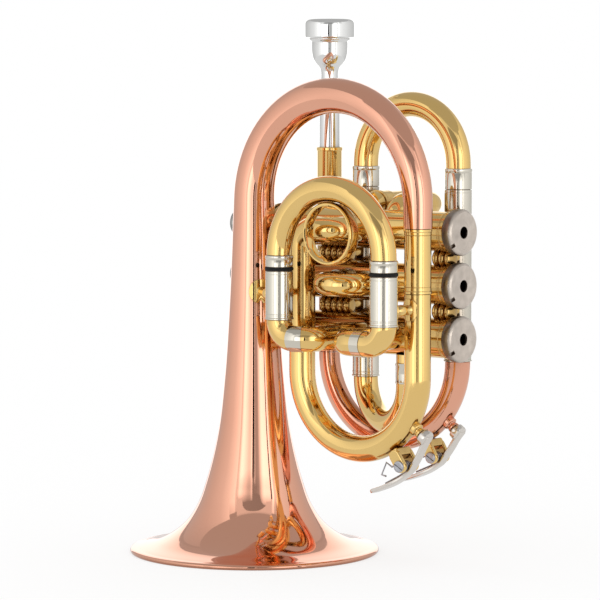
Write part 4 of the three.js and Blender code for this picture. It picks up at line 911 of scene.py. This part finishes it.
def soft_box(name, outline, round_glow, rise_share, away=tent_radius):
    """A soft box with its own outline, as pairs of angle and height."""
    line_of([round_tent(degrees, height, away) for degrees, height in outline])
    bpy.ops.mesh.edge_face_add()
    lit(set_down(60), name, round_glow, rise_share)


def disc(name, height, radius, glow):
    """A flat round card over or under the horn."""
    disc_at((0, 0, height), up, radius / mm, 64)
    lit(set_down(60), name, ((-180, glow), (180, glow)))


wall("tent_skin", tent_foot, tent_top, ((-150, 0.45), (150, 0.45)), away=0.81)
wall("scrim_left", tent_foot, tent_top, ((-147, 0.56), (-112, 0.70), (-80, 0.87), (-60, 1.13)),
     ((0, 1), (tent_top, 0.93)), away=0.79)
wall("scrim_left_near", tent_foot, 0.73, ((-60, 1.13), (-47.2, 1.38), (-46.3, 1.0), (-43, 1.0)),
     ((0, 1), (0.45, 1), (0.73, 0.75)), away=0.79)
wall("border_of_gap", tent_foot, 0.86, ((-43, 1.0), (41, 1.0)), ((0, 0.9), (0.8, 0.8), (0.86, 0.6)),
     away=0.785)
soft_box("dim_over_boxes",
         [(-29, 0.49), (-29, 0.6), (-26, 0.69), (-20, 0.76), (-10, 0.79), (0, 0.79), (10, 0.78), (18, 0.73),
          (24, 0.66), (26.8, 0.61), (20, 0.57), (15, 0.49), (12, 0.41), (-1.2, 0.39), (-1.2, 0.37),
          (-6.2, 0.37), (-6.2, 0.47), (-18, 0.49)],
         ((-40, 0.34), (40, 0.3)), level, away=0.78)
soft_box("box_left",
         [(-43, tent_foot), (-43, 0.41), (-31, 0.43), (-29, 0.5), (-18, 0.5), (-6.3, 0.48), (-6.3, tent_foot)],
         ((-43, 1.1), (-38, 1.9), (-33, 1.95), (-24, 1.54), (-17, 1.22), (-12, 1.2), (-6.3, 2.0)),
         ((0, 1), (0.34, 1), (0.42, 0.5), (0.5, 0.26)), away=0.76)
soft_box("slot_of_camera", [(-7.6, tent_foot), (-7.0, 0.38), (-0.6, 0.38), (-0.6, tent_foot)],
         ((-7, 0.2), (0, 0.2)), ((0, 0.02), (0.2, 0.1), (0.3, 0.5), (0.38, 1)), away=0.755)
soft_box("box_right",
         [(-1.2, tent_foot), (-1.2, 0.40), (12, 0.42), (15, 0.5), (20, 0.58), (27, 0.62), (27, 0.50),
          (38.6, 0.48), (38.6, tent_foot)],
         ((-1.2, 1.4), (2, 0.42), (10, 0.5), (16, 1.25), (20, 1.8), (24, 2.0), (38.6, 1.85)),
         ((0, 1), (0.36, 1), (0.46, 0.64), (0.6, 0.32)), away=0.76)
wall("seam_right", tent_foot, 0.44, ((39.2, 0.1), (42.2, 0.1)), away=0.758)
wall("scrim_right_near", tent_foot, 0.8, ((41, 1.5), (45, 2.0), (48, 1.1), (62, 0.95)),
     ((0, 1), (0.4, 1), (0.5, 0.8), (0.8, 0.6)), away=0.79)
wall("scrim_right", tent_foot, tent_top, ((62, 0.95), (100, 0.74), (147, 0.56)), away=0.79)
soft_box("sweep_behind",
         [(151, tent_foot), (151, 0.46), (157, 0.58), (165, 0.67), (180, 0.70), (195, 0.67), (203, 0.58),
          (209, 0.46), (209, tent_foot)],
         ((-180, 1.4), (180, 1.4)), ((0, 0.95), (0.2, 1.05), (0.35, 0.92), (0.6, 0.72), (0.7, 0.6)), away=0.8)
wall("dim_behind", tent_foot, tent_top, ((148, 0.48), (212, 0.48)), away=0.815)
disc("dim_ceiling", tent_top, 0.82, 0.46)
disc("pale_table", 0.0006, 0.82, 0.74)

world = bpy.data.worlds.new("white sweep")
bpy.context.scene.world = world
world.use_nodes = True
world.node_tree.nodes["Background"].inputs["Color"].default_value = (1, 1, 1, 1)
world.node_tree.nodes["Background"].inputs["Strength"].default_value = 1.0

bpy.ops.object.camera_add(location=(1.0889, -1.2621, 0.263),
                          rotation=(math.radians(85.6), 0, math.radians(40.7)))
camera = bpy.context.object
camera.data.lens, camera.data.sensor_width = 192, 36
camera.data.clip_start, camera.data.clip_end = 0.05, 30
bpy.context.scene.camera = camera
bpy.context.scene.view_settings.view_transform = "Standard"
